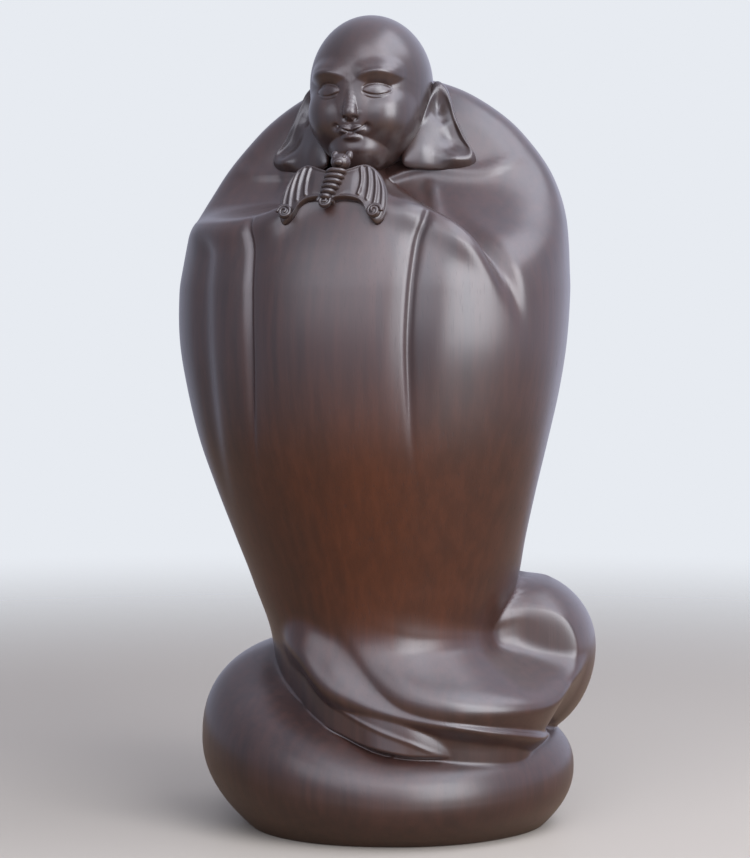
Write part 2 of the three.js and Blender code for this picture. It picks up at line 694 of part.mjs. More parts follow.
// A plate with a rounded edge: its outline drawn in towards a hub, raised by `relief` in front.
// Its own x and y run in `frame`'s first two axes and its front faces along the third.
function plate(outline, hub, thickness, relief, frame) {
  const shares = [1, 0.88, 0.6, 0.3];
  const ring = (share, front) =>
    outline.map((edge) => {
      const at = hub.clone().lerp(edge, share);
      const full = (thickness / 2) * Math.sqrt(1 - share ** 6);
      const height = front ? full + relief(at, share, edge) : -full;
      return new THREE.Vector3(at.x, at.y, height).applyMatrix4(frame);
    });
  const centre = (front) => {
    const height = front ? thickness / 2 + relief(hub, 0, hub) : -thickness / 2;
    return new THREE.Vector3(hub.x, hub.y, height).applyMatrix4(frame);
  };
  const backs = shares.slice(1).reverse().map((share) => ring(share, false));
  const fronts = shares.slice(1).map((share) => ring(share, true));
  return solid(skin(centre(false), [...backs, ring(1, false), ...fronts], centre(true)));
}

// A frame for a plate: where it stands, and the way that its front faces.
function facing(middle, front) {
  const across = new THREE.Vector3(0, 0, 1).cross(front).normalize();
  const up = front.clone().cross(across);
  return new THREE.Matrix4().makeBasis(across, up, front).setPosition(middle);
}

// Ears: a small upper ear that runs down into a broad lobe lying on the collar.
// The outline is in shares of the ear's length, from its hub.
const EAR_OUTLINE = [
  [-0.07, 0.57],
  [0.04, 0.53],
  [0.1, 0.38],
  [0.15, 0.16],
  [0.25, -0.1],
  [0.34, -0.28],
  [0.33, -0.37],
  [0.22, -0.42],
  [0, -0.43],
  [-0.25, -0.42],
  [-0.42, -0.38],
  [-0.45, -0.28],
  [-0.4, -0.12],
  [-0.3, 0.08],
  [-0.2, 0.32],
];

function ear(side) {
  const points = EAR_OUTLINE.map(([x, y]) => new THREE.Vector3(x * side, y, 0));
  points.forEach((point) => point.multiplyScalar(EAR_LENGTH));
  const curve = new THREE.CatmullRomCurve3(side > 0 ? points.reverse() : points, true);
  const outline = curve.getPoints(24).slice(1).map((point) => new THREE.Vector2(point.x, point.y));
  const front = new THREE.Vector3(0.393 * side, -0.87, 0.298).normalize();
  const out = (HEAD_WIDTH / 2 + EAR_OUT) * side;
  const middle = new THREE.Vector3(out, EAR_BACK, -EAR_DROP).add(headMiddle);
  const shell = new THREE.Vector2(-0.02 * side, 0.2).multiplyScalar(EAR_LENGTH);
  const relief = (at) => -1.5 * bell(at.distanceTo(shell), 0.2 * EAR_LENGTH);
  return plate(outline, new THREE.Vector2(0, 0), EAR_THICKNESS, relief, facing(middle, front));
}

// Bat, spread over the joined sleeves
const batLean = BAT_LEAN_ANGLE * DEG;
const batFront = new THREE.Vector3(0, -Math.cos(batLean), Math.sin(batLean));
const batMiddle = new THREE.Vector3(0, -BAT_OUT, BAT_HEIGHT);

// One wing round its hub, in shares of half the span and of the wing's height.
const WING_HUB = [0.5, 0.1];
const WING_OUTLINE = [
  [-0.06, 0.26],
  [0.12, 0.3],
  [0.3, 0.36],
  [0.46, 0.42],
  [0.6, 0.43],
  [0.76, 0.34],
  [0.9, 0.16],
  [0.99, -0.06],
  [1.02, -0.3],
  [0.98, -0.5],
  [0.86, -0.6],
  [0.72, -0.5],
  [0.62, -0.33],
  [0.5, -0.24],
  [0.36, -0.21],
  [0.2, -0.2],
  [0.06, -0.22],
  [-0.06, -0.24],
];

function wing(side) {
  const size = new THREE.Vector2((side * BAT_SPAN) / 2, BAT_WING_HEIGHT);
  const outline = WING_OUTLINE.map(([x, y]) => new THREE.Vector2(x, y).multiply(size));
  const hub = new THREE.Vector2(...WING_HUB).multiply(size);
  const fold = (at) => -0.0055 * at.x * at.x;
  if (side > 0) outline.reverse();
  return plate(outline, hub, BAT_WING_THICKNESS, fold, facing(batMiddle, batFront));
}

function egg(centre, radii) {
  const geometry = new THREE.SphereGeometry(1, 10, 7);
  geometry.scale(...radii);
  geometry.translate(...centre);
  geometry.applyMatrix4(facing(batMiddle, batFront));
  return solid(geometry);
}

// A ringed body that leans over to one side, a round head with two ears, and a curl at the end
// of each wing and of the tail.
function batBody() {
  const along = (y) => [y * Math.tan(BAT_BODY_ANGLE * DEG), y + 0.1 * BAT_BODY_LENGTH];
  const head = BAT_HEAD_WIDTH / 2;
  const curl = BAT_CURL_WIDTH / 2;
  const rings = 4;
  const pieces = [];
  for (let i = 0; i < rings; i += 1) {
    const t = i / (rings - 1);
    const half = (BAT_BODY_WIDTH / 2) * (1 - 0.35 * t * t);
    const middle = along(mix(0.24, -0.34, t) * BAT_BODY_LENGTH);
    const size = [half, 0.15 * BAT_BODY_LENGTH, BAT_BODY_RISE];
    pieces.push(egg([...middle, 0.75 * BAT_BODY_RISE], size));
  }
  const [x, y] = along(0.54 * BAT_BODY_LENGTH);
  pieces.push(egg([x, y, 0.65 * head], [head, 0.85 * head, 0.88 * head]));
  for (const side of [-1, 1]) {
    const ear = [x + side * 0.74 * head, y + 0.75 * head, 0.5 * head];
    pieces.push(egg(ear, [0.35 * head, 0.5 * head, 0.35 * head]));
    pieces.push(egg([side * 0.42 * BAT_SPAN, -0.44 * BAT_WING_HEIGHT, 1], [curl, curl, 0.85 * curl]));
  }
  pieces.push(egg([...along(-0.5 * BAT_BODY_LENGTH), 0.7 * curl], [curl, curl, 0.85 * curl]));
  return pieces;
}

function batPegs() {
  const inward = batFront.clone().negate();
  return [-1, 1].map((side) => {
    const middle = new THREE.Vector3((side * BAT_PEG_SPACING) / 2, 0, 0).add(batMiddle);
    middle.addScaledVector(inward, BAT_PEG_LENGTH / 2 - 1);
    return [BAT_PEG_DIAMETER, BAT_PEG_LENGTH, middle, inward];
  });
}

// The blocks, cut to one another with the glue gap between them.
function blocks() {
  const pegs = batPegs();
  const feet = baseDowels();
  const neckStart = headRadius(neckAxis) - NECK_DOWEL_IN_HEAD;
  const neckMiddle = headMiddle.clone().addScaledVector(neckAxis, neckStart + NECK_DOWEL_LENGTH / 2);
  const neck = [NECK_DOWEL_DIAMETER, NECK_DOWEL_LENGTH, neckMiddle, neckAxis];
  const holes = (dowels) => dowels.map((item) => dowel(...item, GLUE_GAP));
  const whole = solid(carving());
  const grown = solid(carving(GLUE_GAP));
  const n = jointNormal.toArray();
  const down = jointNormal.clone().negate().toArray();
  const cut = (shape, tools) => tools.reduce((left, tool) => left.subtract(tool), shape);
  const add = (shapes) => shapes.reduce((sum, shape) => sum.add(shape));
  const robe = cut(whole.trimByPlane(n, jointOffset + GLUE_GAP / 2), [
    head(GLUE_GAP),
    ...holes([...feet, ...pegs, neck]),
  ]);
  const coil = cut(whole.trimByPlane(down, -jointOffset + GLUE_GAP / 2), holes(feet));
  const ears = [-1, 1].map((side) => ear(side).subtract(grown));
  const skull = cut(add([head(), ...ears]), holes([neck]));
  const bat = cut(add([wing(1), wing(-1), ...batBody()]), [grown, ...holes(pegs)]);
  const pins = (dowels) => dowels.map((item) => dowel(...item));
  return { robe, coil, skull, bat, feet: pins(feet), pegs: pins(pegs), neck: pins([neck])[0] };
}

const { robe, coil, skull, bat, feet, pegs, neck } = blocks();
const figure = new THREE.Group();
figure.add(mesh("robe_body", robe, 0x2e1e1b, 0.38));
figure.add(mesh("train_base", coil, 0x2a1d1c, 0.4));
figure.add(mesh("head", skull, 0x2b1d1b, 0.34));
figure.add(mesh("bat_ornament", bat, 0x2a1c1a, 0.36));
figure.add(mesh("neck_dowel", neck, 0x9a6a3c, 0.6));
feet.forEach((pin, i) => figure.add(mesh(`base_dowel_${i + 1}`, pin, 0x9a6a3c, 0.6)));
pegs.forEach((pin, i) => figure.add(mesh(`bat_peg_${i + 1}`, pin, 0x9a6a3c, 0.6)));

export default figure;
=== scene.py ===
import math

import bpy
import numpy as np
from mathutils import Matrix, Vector

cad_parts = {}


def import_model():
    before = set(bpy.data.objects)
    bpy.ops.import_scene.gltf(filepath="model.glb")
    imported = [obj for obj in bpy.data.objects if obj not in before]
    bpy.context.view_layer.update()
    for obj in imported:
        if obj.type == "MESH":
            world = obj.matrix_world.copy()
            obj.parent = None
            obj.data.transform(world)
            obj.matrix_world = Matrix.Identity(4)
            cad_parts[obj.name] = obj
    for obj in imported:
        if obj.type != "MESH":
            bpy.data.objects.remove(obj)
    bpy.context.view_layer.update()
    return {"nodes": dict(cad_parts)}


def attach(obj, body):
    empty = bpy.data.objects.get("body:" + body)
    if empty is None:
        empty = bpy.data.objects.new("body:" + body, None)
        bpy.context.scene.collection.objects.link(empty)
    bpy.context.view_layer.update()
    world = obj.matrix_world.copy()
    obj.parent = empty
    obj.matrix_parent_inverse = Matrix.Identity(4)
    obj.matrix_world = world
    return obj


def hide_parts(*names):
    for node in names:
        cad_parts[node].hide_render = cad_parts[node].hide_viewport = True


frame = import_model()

DEG = math.pi / 180
MM = 0.001

# A carved ebony figure of a bald monk in a long robe. Sizes are in millimetres, heights are above
# the face it stands on, and bearings are in degrees about the upright axis: 0 at the front, which
# is -Y, and positive towards +X. A pair of bearings is where a change starts and where it ends.

# Robe
ROBE_HEIGHT = 377
ROBE_HALF_WIDTH = 98.5
ROBE_FRONT = 99
ROBE_BACK = 62
SLEEVE_EDGE_HEIGHT = 312
SLEEVE_EDGE_BEAD = 3
SLEEVE_EDGE_STARTS = (-82, -60)
SLEEVE_BEAD_ENDS = (48, 62)
ARMPIT_DEPTH = 6
ARMPIT_BEARING = 59
COLLAR_HEIGHT = 329
COLLAR_BEAD = 2.6
NECKLINE_BEAD = 1.6
NECKLINE_BEARING = 48
SEAM_BEARING = 32.5
SEAM_DEPTH = 4
SLEEVE_FOLD_BEARING = 54.5
SLEEVE_FOLD_DEPTH = 2.6
SEAM_BOW = 0.0006
SEAM_BOW_HEIGHT = 0.66 * ROBE_HEIGHT

# Train: rim, hem, loose tongue of cloth and rolled-up end
RIM_HEIGHT = 108
RIM_REACH = 97
RIM_ROUND = 14
RIM_SLOPE = 0.6
SWEEP_SHARE = 0.85
COVE_CURVE = 0.25
COVE_ROUND = 7
HEM_HEIGHT = 99
HEM_REACH = 95
HEM_FALL_BELOW = 1.3
# On the figure's right and on its left.
HEM_ROUND = (8, 1.5)
HEM_FALL_ABOVE = (0.75, 1.5)
TONGUE_HEIGHT = 84
TONGUE_REACH = 82.5
TONGUE_ROUND = 0.7
TONGUE_FALL_ABOVE = 0.22
TONGUE_FALL_BELOW = 2.2
CREST_BEAD = 0.5
PANEL_DEPTH = 6.5
PANEL_DROP = 22
FOLD_SOFT = 0.8
ROLL_OUT = 67
ROLL_BEARING = 117
ROLL_HEIGHT = 88.5
ROLL_HALF_WIDTH = 40
ROLL_HALF_DEPTH = 48
ROLL_HALF_HEIGHT = 38
ROLL_SAG = 1.26
ROLL_SOFT = 12
ROLL_FACE_BEARING = 18
ROLL_FACE_OUT = 25
ROLL_LIP_HEIGHT = 72
ROLL_BOWL = 24
ROLL_BOWL_TOP = 90
ROLL_BOWL_HEIGHT = 19
ROLL_DISH = 1
ROLL_DISH_ACROSS = 79
ROLL_DISH_HEIGHT = 92
ROLL_DISH_HALF_WIDTH = 19
ROLL_DISH_HALF_HEIGHT = 26
# What is cut off the roll's thin edges, and the length through the roll over which it fades out.
ROLL_INNER_CUT = (30, 30)
ROLL_OUTER_CUT = (24, 16)
ROLL_OUTER_STARTS = (84, 106)

# Coil
COIL_HEIGHT = 93
COIL_RADIUS = 95
COIL_CORE = 30
COIL_SOFT = 1.4
COIL_CREASE_SOFT = (7, 2)
PLAIN_HEIGHT = 1.5 * RIM_HEIGHT
PLAIN_BLEND = 15

# Head and ears
HEAD_TOP = 404
HEAD_FORWARD = 28
HEAD_WIDTH = 62
HEAD_DEPTH = 70
HEAD_HEIGHT = 77
NOSE_LENGTH = 19
NOSE_RISE = 5
NOSE_WIDTH = 8.4
EYE_OUT = 12.6
EYE_HEIGHT = -1.0
EYE_HALF_WIDTH = 6.6
EYE_HALF_HEIGHT = 4.1
BROW_HEIGHT = 8.2
NOSTRIL_HEIGHT = -14.4
LIPS_HEIGHT = -20.6
EAR_LENGTH = 46
EAR_THICKNESS = 6.5
EAR_OUT = 5
EAR_BACK = 4
EAR_DROP = 19.5
EAR_FACING = (0.393, -0.87, 0.298)

# Bat
BAT_SPAN = 53
BAT_WING_HEIGHT = 29
BAT_WING_THICKNESS = 6
BAT_WING_BOW = 0.0055
BAT_RIB_RISE = 1.15
BAT_RIB_WIDTH = 0.95
BAT_RIB_BOW = 0.9
BAT_BODY_LENGTH = 20
BAT_BODY_WIDTH = 10.5
BAT_BODY_ANGLE = 14
BAT_HEAD_WIDTH = 10.4
BAT_CURL_WIDTH = 7
BAT_LEAN = 24
BAT_OUT = 83
BAT_HEIGHT = 316

# Joint between the robe and the coil: a plane that leans, its high side at a bearing
JOINT_HEIGHT = 68
JOINT_LEAN = math.tan(23.18 * DEG)
JOINT_BEARING = -118.3 * DEG
JOINT_SLOPE_X = JOINT_LEAN * math.sin(JOINT_BEARING)
JOINT_SLOPE_Y = -JOINT_LEAN * math.cos(JOINT_BEARING)
JOINT_HAIRLINE = 0.004

# The tables below are in shares of the sizes above.
# The robe from the floor to its top: height, half width, how far the widest line stands forward,
# front, back, chest above the sleeves.
ROBE_LINES = np.array([
    (0.0, 0.533, 0.03, 0.63, 0.76, 0.63),
    (0.244, 0.579, 0.03, 0.63, 0.76, 0.63),
    (0.326, 0.682, 0.04, 0.7, 0.825, 0.7),
    (0.39, 0.749, 0.14, 0.785, 0.84, 0.785),
    (0.454, 0.82, 0.222, 0.869, 0.88, 0.869),
    (0.517, 0.889, 0.273, 0.944, 0.91, 0.944),
    (0.584, 0.95, 0.283, 0.985, 0.945, 0.985),
    (0.647, 0.989, 0.288, 1.0, 0.975, 1.0),
    (0.711, 1, 0.263, 0.985, 1.0, 0.985),
    (0.743, 0.991, 0.235, 0.96, 1.0, 0.93),
    (0.776, 0.977, 0.192, 0.922, 1.0, 0.76),
    (0.809, 0.949, 0.121, 0.87, 0.985, 0.535),
    (0.841, 0.902, 0.05, 0.79, 0.96, 0.384),
    (0.873, 0.839, 0.01, 0.667, 0.903, 0.313),
    (0.905, 0.749, -0.01, 0.525, 0.806, 0.283),
    (0.936, 0.638, -0.015, 0.4, 0.677, 0.253),
    (0.963, 0.497, -0.01, 0.3, 0.532, 0.212),
    (0.981, 0.365, 0.0, 0.172, 0.403, 0.167),
    (0.995, 0.183, 0.0, 0.096, 0.202, 0.09),
    (1.0, 0, 0.0, 0.0, 0.0, 0.0),
])
# Upper edge of the joined sleeves: bearing, height.
SLEEVE_EDGE = np.array([
    (-180, 0.8), (-120, 0.8), (-104, 0.88), (-94, 0.93), (-86, 0.955), (-78, 0.967),
    (-68, 0.972), (-44, 0.972), (-32, 0.978), (-22, 0.99), (-12, 1.02), (0, 1.035), (12, 1.032),
    (20, 1.008), (27, 0.998), (36, 0.982), (46, 0.957), (56, 0.916), (64, 0.858), (72, 0.788),
    (180, 0.788),
])
# The collar, the same on both sides: bearing, height.
COLLAR = np.array([
    (0, 0.967), (20, 0.985), (45, 1.0), (66, 0.994), (77, 1.01), (100, 1.04), (180, 1.06),
])
# Rim of the swept-out robe: bearing, height, reach, height of the sweep above it.
RIM = np.array([
    (-92, 0.88, 0.454, 0.296), (-42, 0.88, 0.5, 0.355), (-24, 0.88, 0.536, 0.386),
    (-12, 0.835, 0.572, 0.384), (0, 0.768, 0.619, 0.376), (12, 0.715, 0.69, 0.336),
    (24, 0.68, 0.773, 0.328), (35, 0.658, 0.84, 0.328), (46, 0.648, 0.897, 0.328),
    (63, 0.645, 0.969, 0.312), (75, 0.65, 0.985, 0.288), (84, 0.69, 0.985, 0.24),
    (97, 0.77, 0.97, 0.224), (110, 0.87, 0.866, 0.32), (128, 0.981, 0.784, 0.416),
    (168, 1.0, 0.66, 0.386), (198, 1.0, 0.577, 0.355), (233, 0.963, 0.474, 0.326),
])
# Lower edge of the hem: bearing, height, reach.
HEM = np.array([
    (-82, 0.96, 0.45), (-45, 0.965, 0.57), (-32, 0.94, 0.66), (-22, 0.895, 0.7),
    (-8, 0.76, 0.73), (7, 0.696, 0.75), (20.5, 0.657, 0.785), (30, 0.634, 0.83),
    (43.5, 0.602, 0.902), (53, 0.576, 0.94), (62, 0.5525, 0.969), (72, 0.521, 0.975),
    (84, 0.5, 0.92), (102, 0.48, 0.86), (128, 0.525, 0.9), (168, 0.667, 0.8),
    (203, 0.808, 0.526),
])
# The tongue: bearing, height of its lower edge, height of its crest, reach.
TONGUE = np.array([
    (-92, 0.952, 1.2, 0.51), (-60, 0.94, 1.2, 0.635), (-50, 0.9, 1.22, 0.655),
    (-37, 0.833, 1.13, 0.7), (-28, 0.795, 1.03, 0.738), (-21, 0.756, 0.94, 0.77),
    (-10, 0.706, 0.848, 0.81), (0, 0.661, 0.783, 0.842), (6, 0.629, 0.742, 0.868),
    (16, 0.584, 0.682, 0.912), (26, 0.557, 0.625, 0.935), (35, 0.542, 0.565, 0.937),
    (42, 0.53, 0.53, 0.925), (48, 0.524, 0.524, 0.88), (58, 0.524, 0.524, 0.727),
])
# The coil: bearing, height of its widest line, rise above that, reach, reach at the floor.
COIL = np.array([
    (-117, 0.495, 0.516, 0.905, 0.716), (-72, 0.473, 0.527, 0.979, 0.726),
    (-44, 0.419, 0.408, 0.958, 0.716), (-17, 0.323, 0.376, 0.921, 0.7),
    (18, 0.247, 0.3, 0.9, 0.684), (63, 0.258, 0.315, 0.937, 0.747),
    (108, 0.312, 0.32, 1.0, 0.842), (153, 0.366, 0.344, 0.937, 0.779),
    (198, 0.452, 0.473, 0.853, 0.716),
])


# Curves and blends

def clamp01(t):
    return np.clip(t, 0.0, 1.0)


def mix(a, b, t):
    return a + (b - a) * t


def bell(x, width):
    return np.exp(-((x / width) ** 2))


def ease(start, end, x):
    """0 up to start, 1 from end on, smooth between."""
    t = clamp01((x - start) / (end - start))
    return t * t * (3 - 2 * t)


def soft_max(a, b, soft):
    """The larger of two lengths, rounded by soft where they meet."""
    h = clamp01(0.5 + 0.5 * (a - b) / soft)
    return mix(b, a, h) + soft * h * (1 - h)


def soft_min(a, b, soft):
    return -soft_max(-a, -b, soft)


def through(rows, column, place):
    """One column of a table at a place, on a smooth curve through its rows."""
    at, value = rows[:, 0], rows[:, column]
    slope = np.empty(len(at))
    slope[1:-1] = (value[2:] - value[:-2]) / (at[2:] - at[:-2])
    slope[0] = (value[1] - value[0]) / (at[1] - at[0])
    slope[-1] = (value[-1] - value[-2]) / (at[-1] - at[-2])
    i = np.clip(np.searchsorted(at, place, side="right") - 1, 0, len(at) - 2)
    span = at[i + 1] - at[i]
    t = clamp01((place - at[i]) / span)
    bend = t * (1 - t) * span * (slope[i] * (1 - t) - slope[i + 1] * t)
    return mix(value[i], value[i + 1], t * t * (3 - 2 * t)) + bend


def around(rows, column, bearing):
    """The same for a table of bearings that closes on itself."""
    before, after = rows[-1:].copy(), rows[:2].copy()
    before[:, 0] -= 360
    after[:, 0] += 360
    start = rows[0, 0]
    return through(np.vstack([before, rows, after]), column, np.mod(bearing - start, 360) + start)


def steps(start, stretches):
    """Evenly stepped values, up to each (limit, step) in turn."""
    values = [np.array([start], float)]
    for limit, step in stretches:
        count = max(1, round((limit - start) / step))
        values.append(np.linspace(start, limit, count + 1)[1:])
        start = limit
    return np.concatenate(values)


def oval(angle, half, front, back):
    """Distance to the edge of an oval that is deeper in front than behind, or the reverse."""
    along = np.where(np.cos(angle) > 0, front, back)
    return 1 / np.hypot(np.sin(angle) / half, np.cos(angle) / along)


# The carved surface below the neck

def robe_side():
    """The robe's lines as lengths, placed along its side by the length of that line."""
    sizes = (ROBE_HEIGHT, ROBE_HALF_WIDTH, ROBE_FRONT, ROBE_FRONT, ROBE_BACK, ROBE_FRONT)
    lines = ROBE_LINES * np.array(sizes)
    beyond = -lines[-2]
    beyond[0] = lines[-2][0]
    lines = np.vstack([lines, beyond])
    places = np.cumsum(np.hypot(np.diff(lines[:, 0]), np.diff(lines[:, 1])))
    return np.column_stack([np.concatenate([[0], places]), lines])


SIDE = robe_side()
SIDE_LENGTH = SIDE[-2, 0]


def place_at(z):
    return np.interp(z, SIDE[:-1, 1], SIDE[:-1, 0])


class Line:
    """The robe's sizes at places along its side."""

    def __init__(self, place):
        self.z, half, middle, front, back, chest = (through(SIDE, k, place) for k in range(1, 7))
        self.middle = middle
        self.half = np.maximum(half, 1e-6)
        self.front = np.maximum(front - middle, 1e-6)
        self.back = np.maximum(back + middle, 1e-6)
        self.chest = np.maximum(chest - middle, 1e-6)


def chest_radius(angle, side, line):
    """Chest and shoulders above the sleeves, with the collar and a fold of the neckline."""
    r = oval(angle, line.half, line.chest, line.back)
    collar = through(COLLAR, 1, side) * COLLAR_HEIGHT
    r = r + COLLAR_BEAD * bell(line.z - collar, 3) * ease(8, 20, side) * (1 - ease(70, 85, side))
    below = COLLAR_HEIGHT - line.z
    run = ease(4, 12, below) * (1 - ease(20, 28, below))
    return r + NECKLINE_BEAD * bell(side - NECKLINE_BEARING, 3) * run


def seam_depth(side, bearing, z):
    """Seams down the front and a fold along the figure's right sleeve."""
    bow = SEAM_BOW * (z - SEAM_BOW_HEIGHT) ** 2
    top = 1 - ease(SLEEVE_EDGE_HEIGHT - 10, SLEEVE_EDGE_HEIGHT + 1, z)
    off = side - SEAM_BEARING - bow
    seam = SEAM_DEPTH / 2 * (bell(off, 1.5) + bell(off, 7))
    fold = SLEEVE_FOLD_DEPTH * bell(-bearing - SLEEVE_FOLD_BEARING - bow, 5)
    share = z / ROBE_HEIGHT
    fold_run = ease(0.4, 0.61, share) * (1 - ease(0.755, 0.795, share))
    return seam * ease(0.46, 0.64, share) * top + fold * fold_run


def robe_radius(angle, line):
    """The standing robe, hollowed above the sleeves; the far sleeve runs on level."""
    bearing = angle / DEG
    side = np.abs(bearing)
    egg = oval(angle, line.half, line.front, line.back)
    over = line.z - through(SLEEVE_EDGE, 1, bearing) * SLEEVE_EDGE_HEIGHT
    near = ease(*SLEEVE_EDGE_STARTS, bearing)
    hollow = np.maximum(egg - chest_radius(angle, side, line), 0) * near
    r = egg - hollow * ease(-2, 9, over)
    r = r + SLEEVE_EDGE_BEAD * bell(over + 6, 7) * near * (1 - ease(*SLEEVE_BEAD_ENDS, bearing))
    r = r - ARMPIT_DEPTH * bell(bearing - ARMPIT_BEARING, 7) * bell(over - 8, 10)
    return r - seam_depth(side, bearing, line.z)


def swept_radius(bearing, line, robe):
    """Where the robe sweeps out to its rim, and the underside below the rim."""
    height, reach, sweep = (around(RIM, k, bearing) for k in (1, 2, 3))
    up = line.z - height * RIM_HEIGHT
    edge = reach * RIM_REACH + RIM_ROUND / 4
    beyond = np.maximum(edge - robe, 0)
    rest = 1 - np.clip(up / (SWEEP_SHARE * sweep * RIM_HEIGHT), -1, 2)
    cove = robe + beyond * rest * np.abs(rest) ** COVE_CURVE
    soft = np.minimum(0.3 + 0.3 * beyond, COVE_ROUND)
    return soft_max(soft_min(cove, edge + RIM_SLOPE * up, RIM_ROUND), robe, soft)


def ridge(up, reach, round_off, above, below):
    """An edge of cloth that falls away above and below by so much a millimetre of height."""
    arch = np.hypot(up, round_off) - round_off
    return reach - (above + below) / 2 * arch - (above - below) / 2 * up


def fold_radius(bearing, z):
    """The hem, the cloth behind it and the tongue that lies on that cloth."""
    hem_height = around(HEM, 1, bearing) * HEM_HEIGHT
    hem_reach = around(HEM, 2, bearing) * HEM_REACH
    hem_round = mix(*HEM_ROUND, ease(-6, 44, bearing))
    hem_above = mix(*HEM_FALL_ABOVE, ease(-10, 34, bearing))
    hem = ridge(z - hem_height, hem_reach, hem_round, hem_above, HEM_FALL_BELOW)
    under = 0.1 * (z - hem_height) - PANEL_DEPTH
    panel = hem_reach + soft_min(under, 2 * (hem_height - z), 1.5)
    panel = panel - 0.8 * np.maximum(hem_height - PANEL_DROP - z, 0)
    low, crest = (around(TONGUE, k, bearing) * TONGUE_HEIGHT for k in (1, 2))
    reach = around(TONGUE, 3, bearing) * TONGUE_REACH
    tongue = ridge(z - low, reach, TONGUE_ROUND, TONGUE_FALL_ABOVE, TONGUE_FALL_BELOW)
    crest_reach = reach - TONGUE_FALL_ABOVE * (crest - low)
    back = (crest_reach - hem_reach + 1) / np.maximum(hem_height - crest, 3)
    behind = crest_reach - np.clip(back, 0, 1.6) * (z - crest)
    bead = CREST_BEAD * bell(z - crest, 1.1) * ease(-36, -22, bearing) * (1 - ease(30, 40, bearing))
    tongue = soft_min(tongue, behind, mix(8, 0.8, ease(-38, -18, bearing))) + bead
    over_hem = z - np.maximum(hem_height, crest)
    tongue = soft_min(tongue, hem_reach - 1.6 * over_hem, 1.5)
    return soft_max(soft_max(tongue, panel, FOLD_SOFT), hem, FOLD_SOFT)


def roll_radius(angle, line):
    """The rolled-up end of the train: part of an egg, flattened where it faces forward."""
    turn = ROLL_FACE_BEARING * DEG
    at = (ROLL_BEARING - ROLL_FACE_BEARING) * DEG
    right = ROLL_OUT * math.sin(at) + line.middle * math.sin(turn)
    near = ROLL_OUT * math.cos(at) - line.middle * math.cos(turn)
    dx, dn = np.sin(angle - turn), np.cos(angle - turn)
    a, b = ROLL_HALF_WIDTH, ROLL_HALF_DEPTH
    c = ROLL_HALF_HEIGHT * np.where(line.z < ROLL_HEIGHT, ROLL_SAG, 1)
    qa = (dx / a) ** 2 + (dn / b) ** 2
    qb = dx * right / a**2 + dn * near / b**2
    qc = (right / a) ** 2 + (near / b) ** 2 + ((line.z - ROLL_HEIGHT) / c) ** 2 - 1
    root = qb * qb - qa * qc
    chord = np.sqrt(np.maximum(root, 0)) / qa
    far = np.where(root > 0, np.maximum(qb / qa + chord, 0), 0)
    inner_cut, outer_cut = (depth * (1 - ease(0, reach, chord))
                            for depth, reach in (ROLL_INNER_CUT, ROLL_OUTER_CUT))
    far = far - mix(inner_cut, outer_cut, ease(*ROLL_OUTER_STARTS, angle / DEG))
    bowl = ROLL_BOWL * (np.maximum(ROLL_BOWL_TOP - line.z, 0) / ROLL_BOWL_HEIGHT) ** 2
    under = ROLL_BOWL + 0.8 * (line.z - ROLL_LIP_HEIGHT)
    out = ROLL_FACE_OUT + soft_min(bowl, under, 8) - line.middle * math.cos(turn)
    ahead = np.maximum(dn, 0.02)
    over = out * dx / ahead - line.middle * math.sin(turn) - ROLL_DISH_ACROSS
    above = line.z - ROLL_DISH_HEIGHT
    off = (over / ROLL_DISH_HALF_WIDTH) ** 2 + (above / ROLL_DISH_HALF_HEIGHT) ** 2
    dish = ROLL_DISH * bell(off, 1)
    face = np.maximum((out - dish) / ahead, 0)
    flattened = np.where(dn > 0.02, soft_min(far, face, ROLL_SOFT), far)
    return flattened * (root > 0)


def coil_radius(bearing, z):
    """The coil on the ground, drawn in at the floor and rounded over to its core above."""
    level, rise, reach, foot = (around(COIL, k, bearing) for k in (1, 2, 3, 4))
    up = z - level * COIL_HEIGHT
    out = reach * COIL_RADIUS
    down = up / (level * COIL_HEIGHT)
    t = up / (rise * COIL_HEIGHT)
    upper = mix(COIL_CORE, out, (1 - clamp01(t) ** 2.5) ** 0.4) * (t < 1)
    return np.where(up < 0, mix(out, foot * COIL_RADIUS, down * down), upper)


def carved_radius(angle, line):
    """Distance from the robe's middle line to the skin, at a bearing and on a line."""
    bearing = angle / DEG
    robe = robe_radius(angle, line)
    plain = ease(PLAIN_HEIGHT - PLAIN_BLEND, PLAIN_HEIGHT, line.z)
    coil = soft_max(coil_radius(bearing, line.z), fold_radius(bearing, line.z), COIL_SOFT)
    upper = soft_max(swept_radius(bearing, line, robe), roll_radius(angle, line), ROLL_SOFT)
    crease = mix(*COIL_CREASE_SOFT, ease(-5, 30, bearing))
    return mix(soft_max(coil, upper, crease), robe, plain)


def carved_points(bearing, place):
    angle = bearing * DEG
    line = Line(place)
    r = carved_radius(angle, line)
    return np.stack([r * np.sin(angle), -line.middle - r * np.cos(angle), line.z], axis=-1)


def joint_places(bearing):
    """Where the skin crosses the slanted joint."""
    low, high = np.zeros_like(bearing), np.full_like(bearing, place_at(PLAIN_HEIGHT))
    for _ in range(40):
        middle = (low + high) / 2
        x, y, z = np.moveaxis(carved_points(bearing, middle), -1, 0)
        below = z < JOINT_HEIGHT + JOINT_SLOPE_X * x + JOINT_SLOPE_Y * y
        low, high = np.where(below, middle, low), np.where(below, high, middle)
    return low


def low_places(bearing):
    """Places along the side that keep to the joint, the hem, the rim and the plain robe."""
    joint = joint_places(bearing)
    gap = 6
    hem = np.maximum(place_at(around(HEM, 1, bearing) * HEM_HEIGHT), joint + gap)
    rim = np.maximum(place_at(around(RIM, 1, bearing) * RIM_HEIGHT), hem + gap)
    return joint, hem, rim, np.full_like(bearing, place_at(PLAIN_HEIGHT))


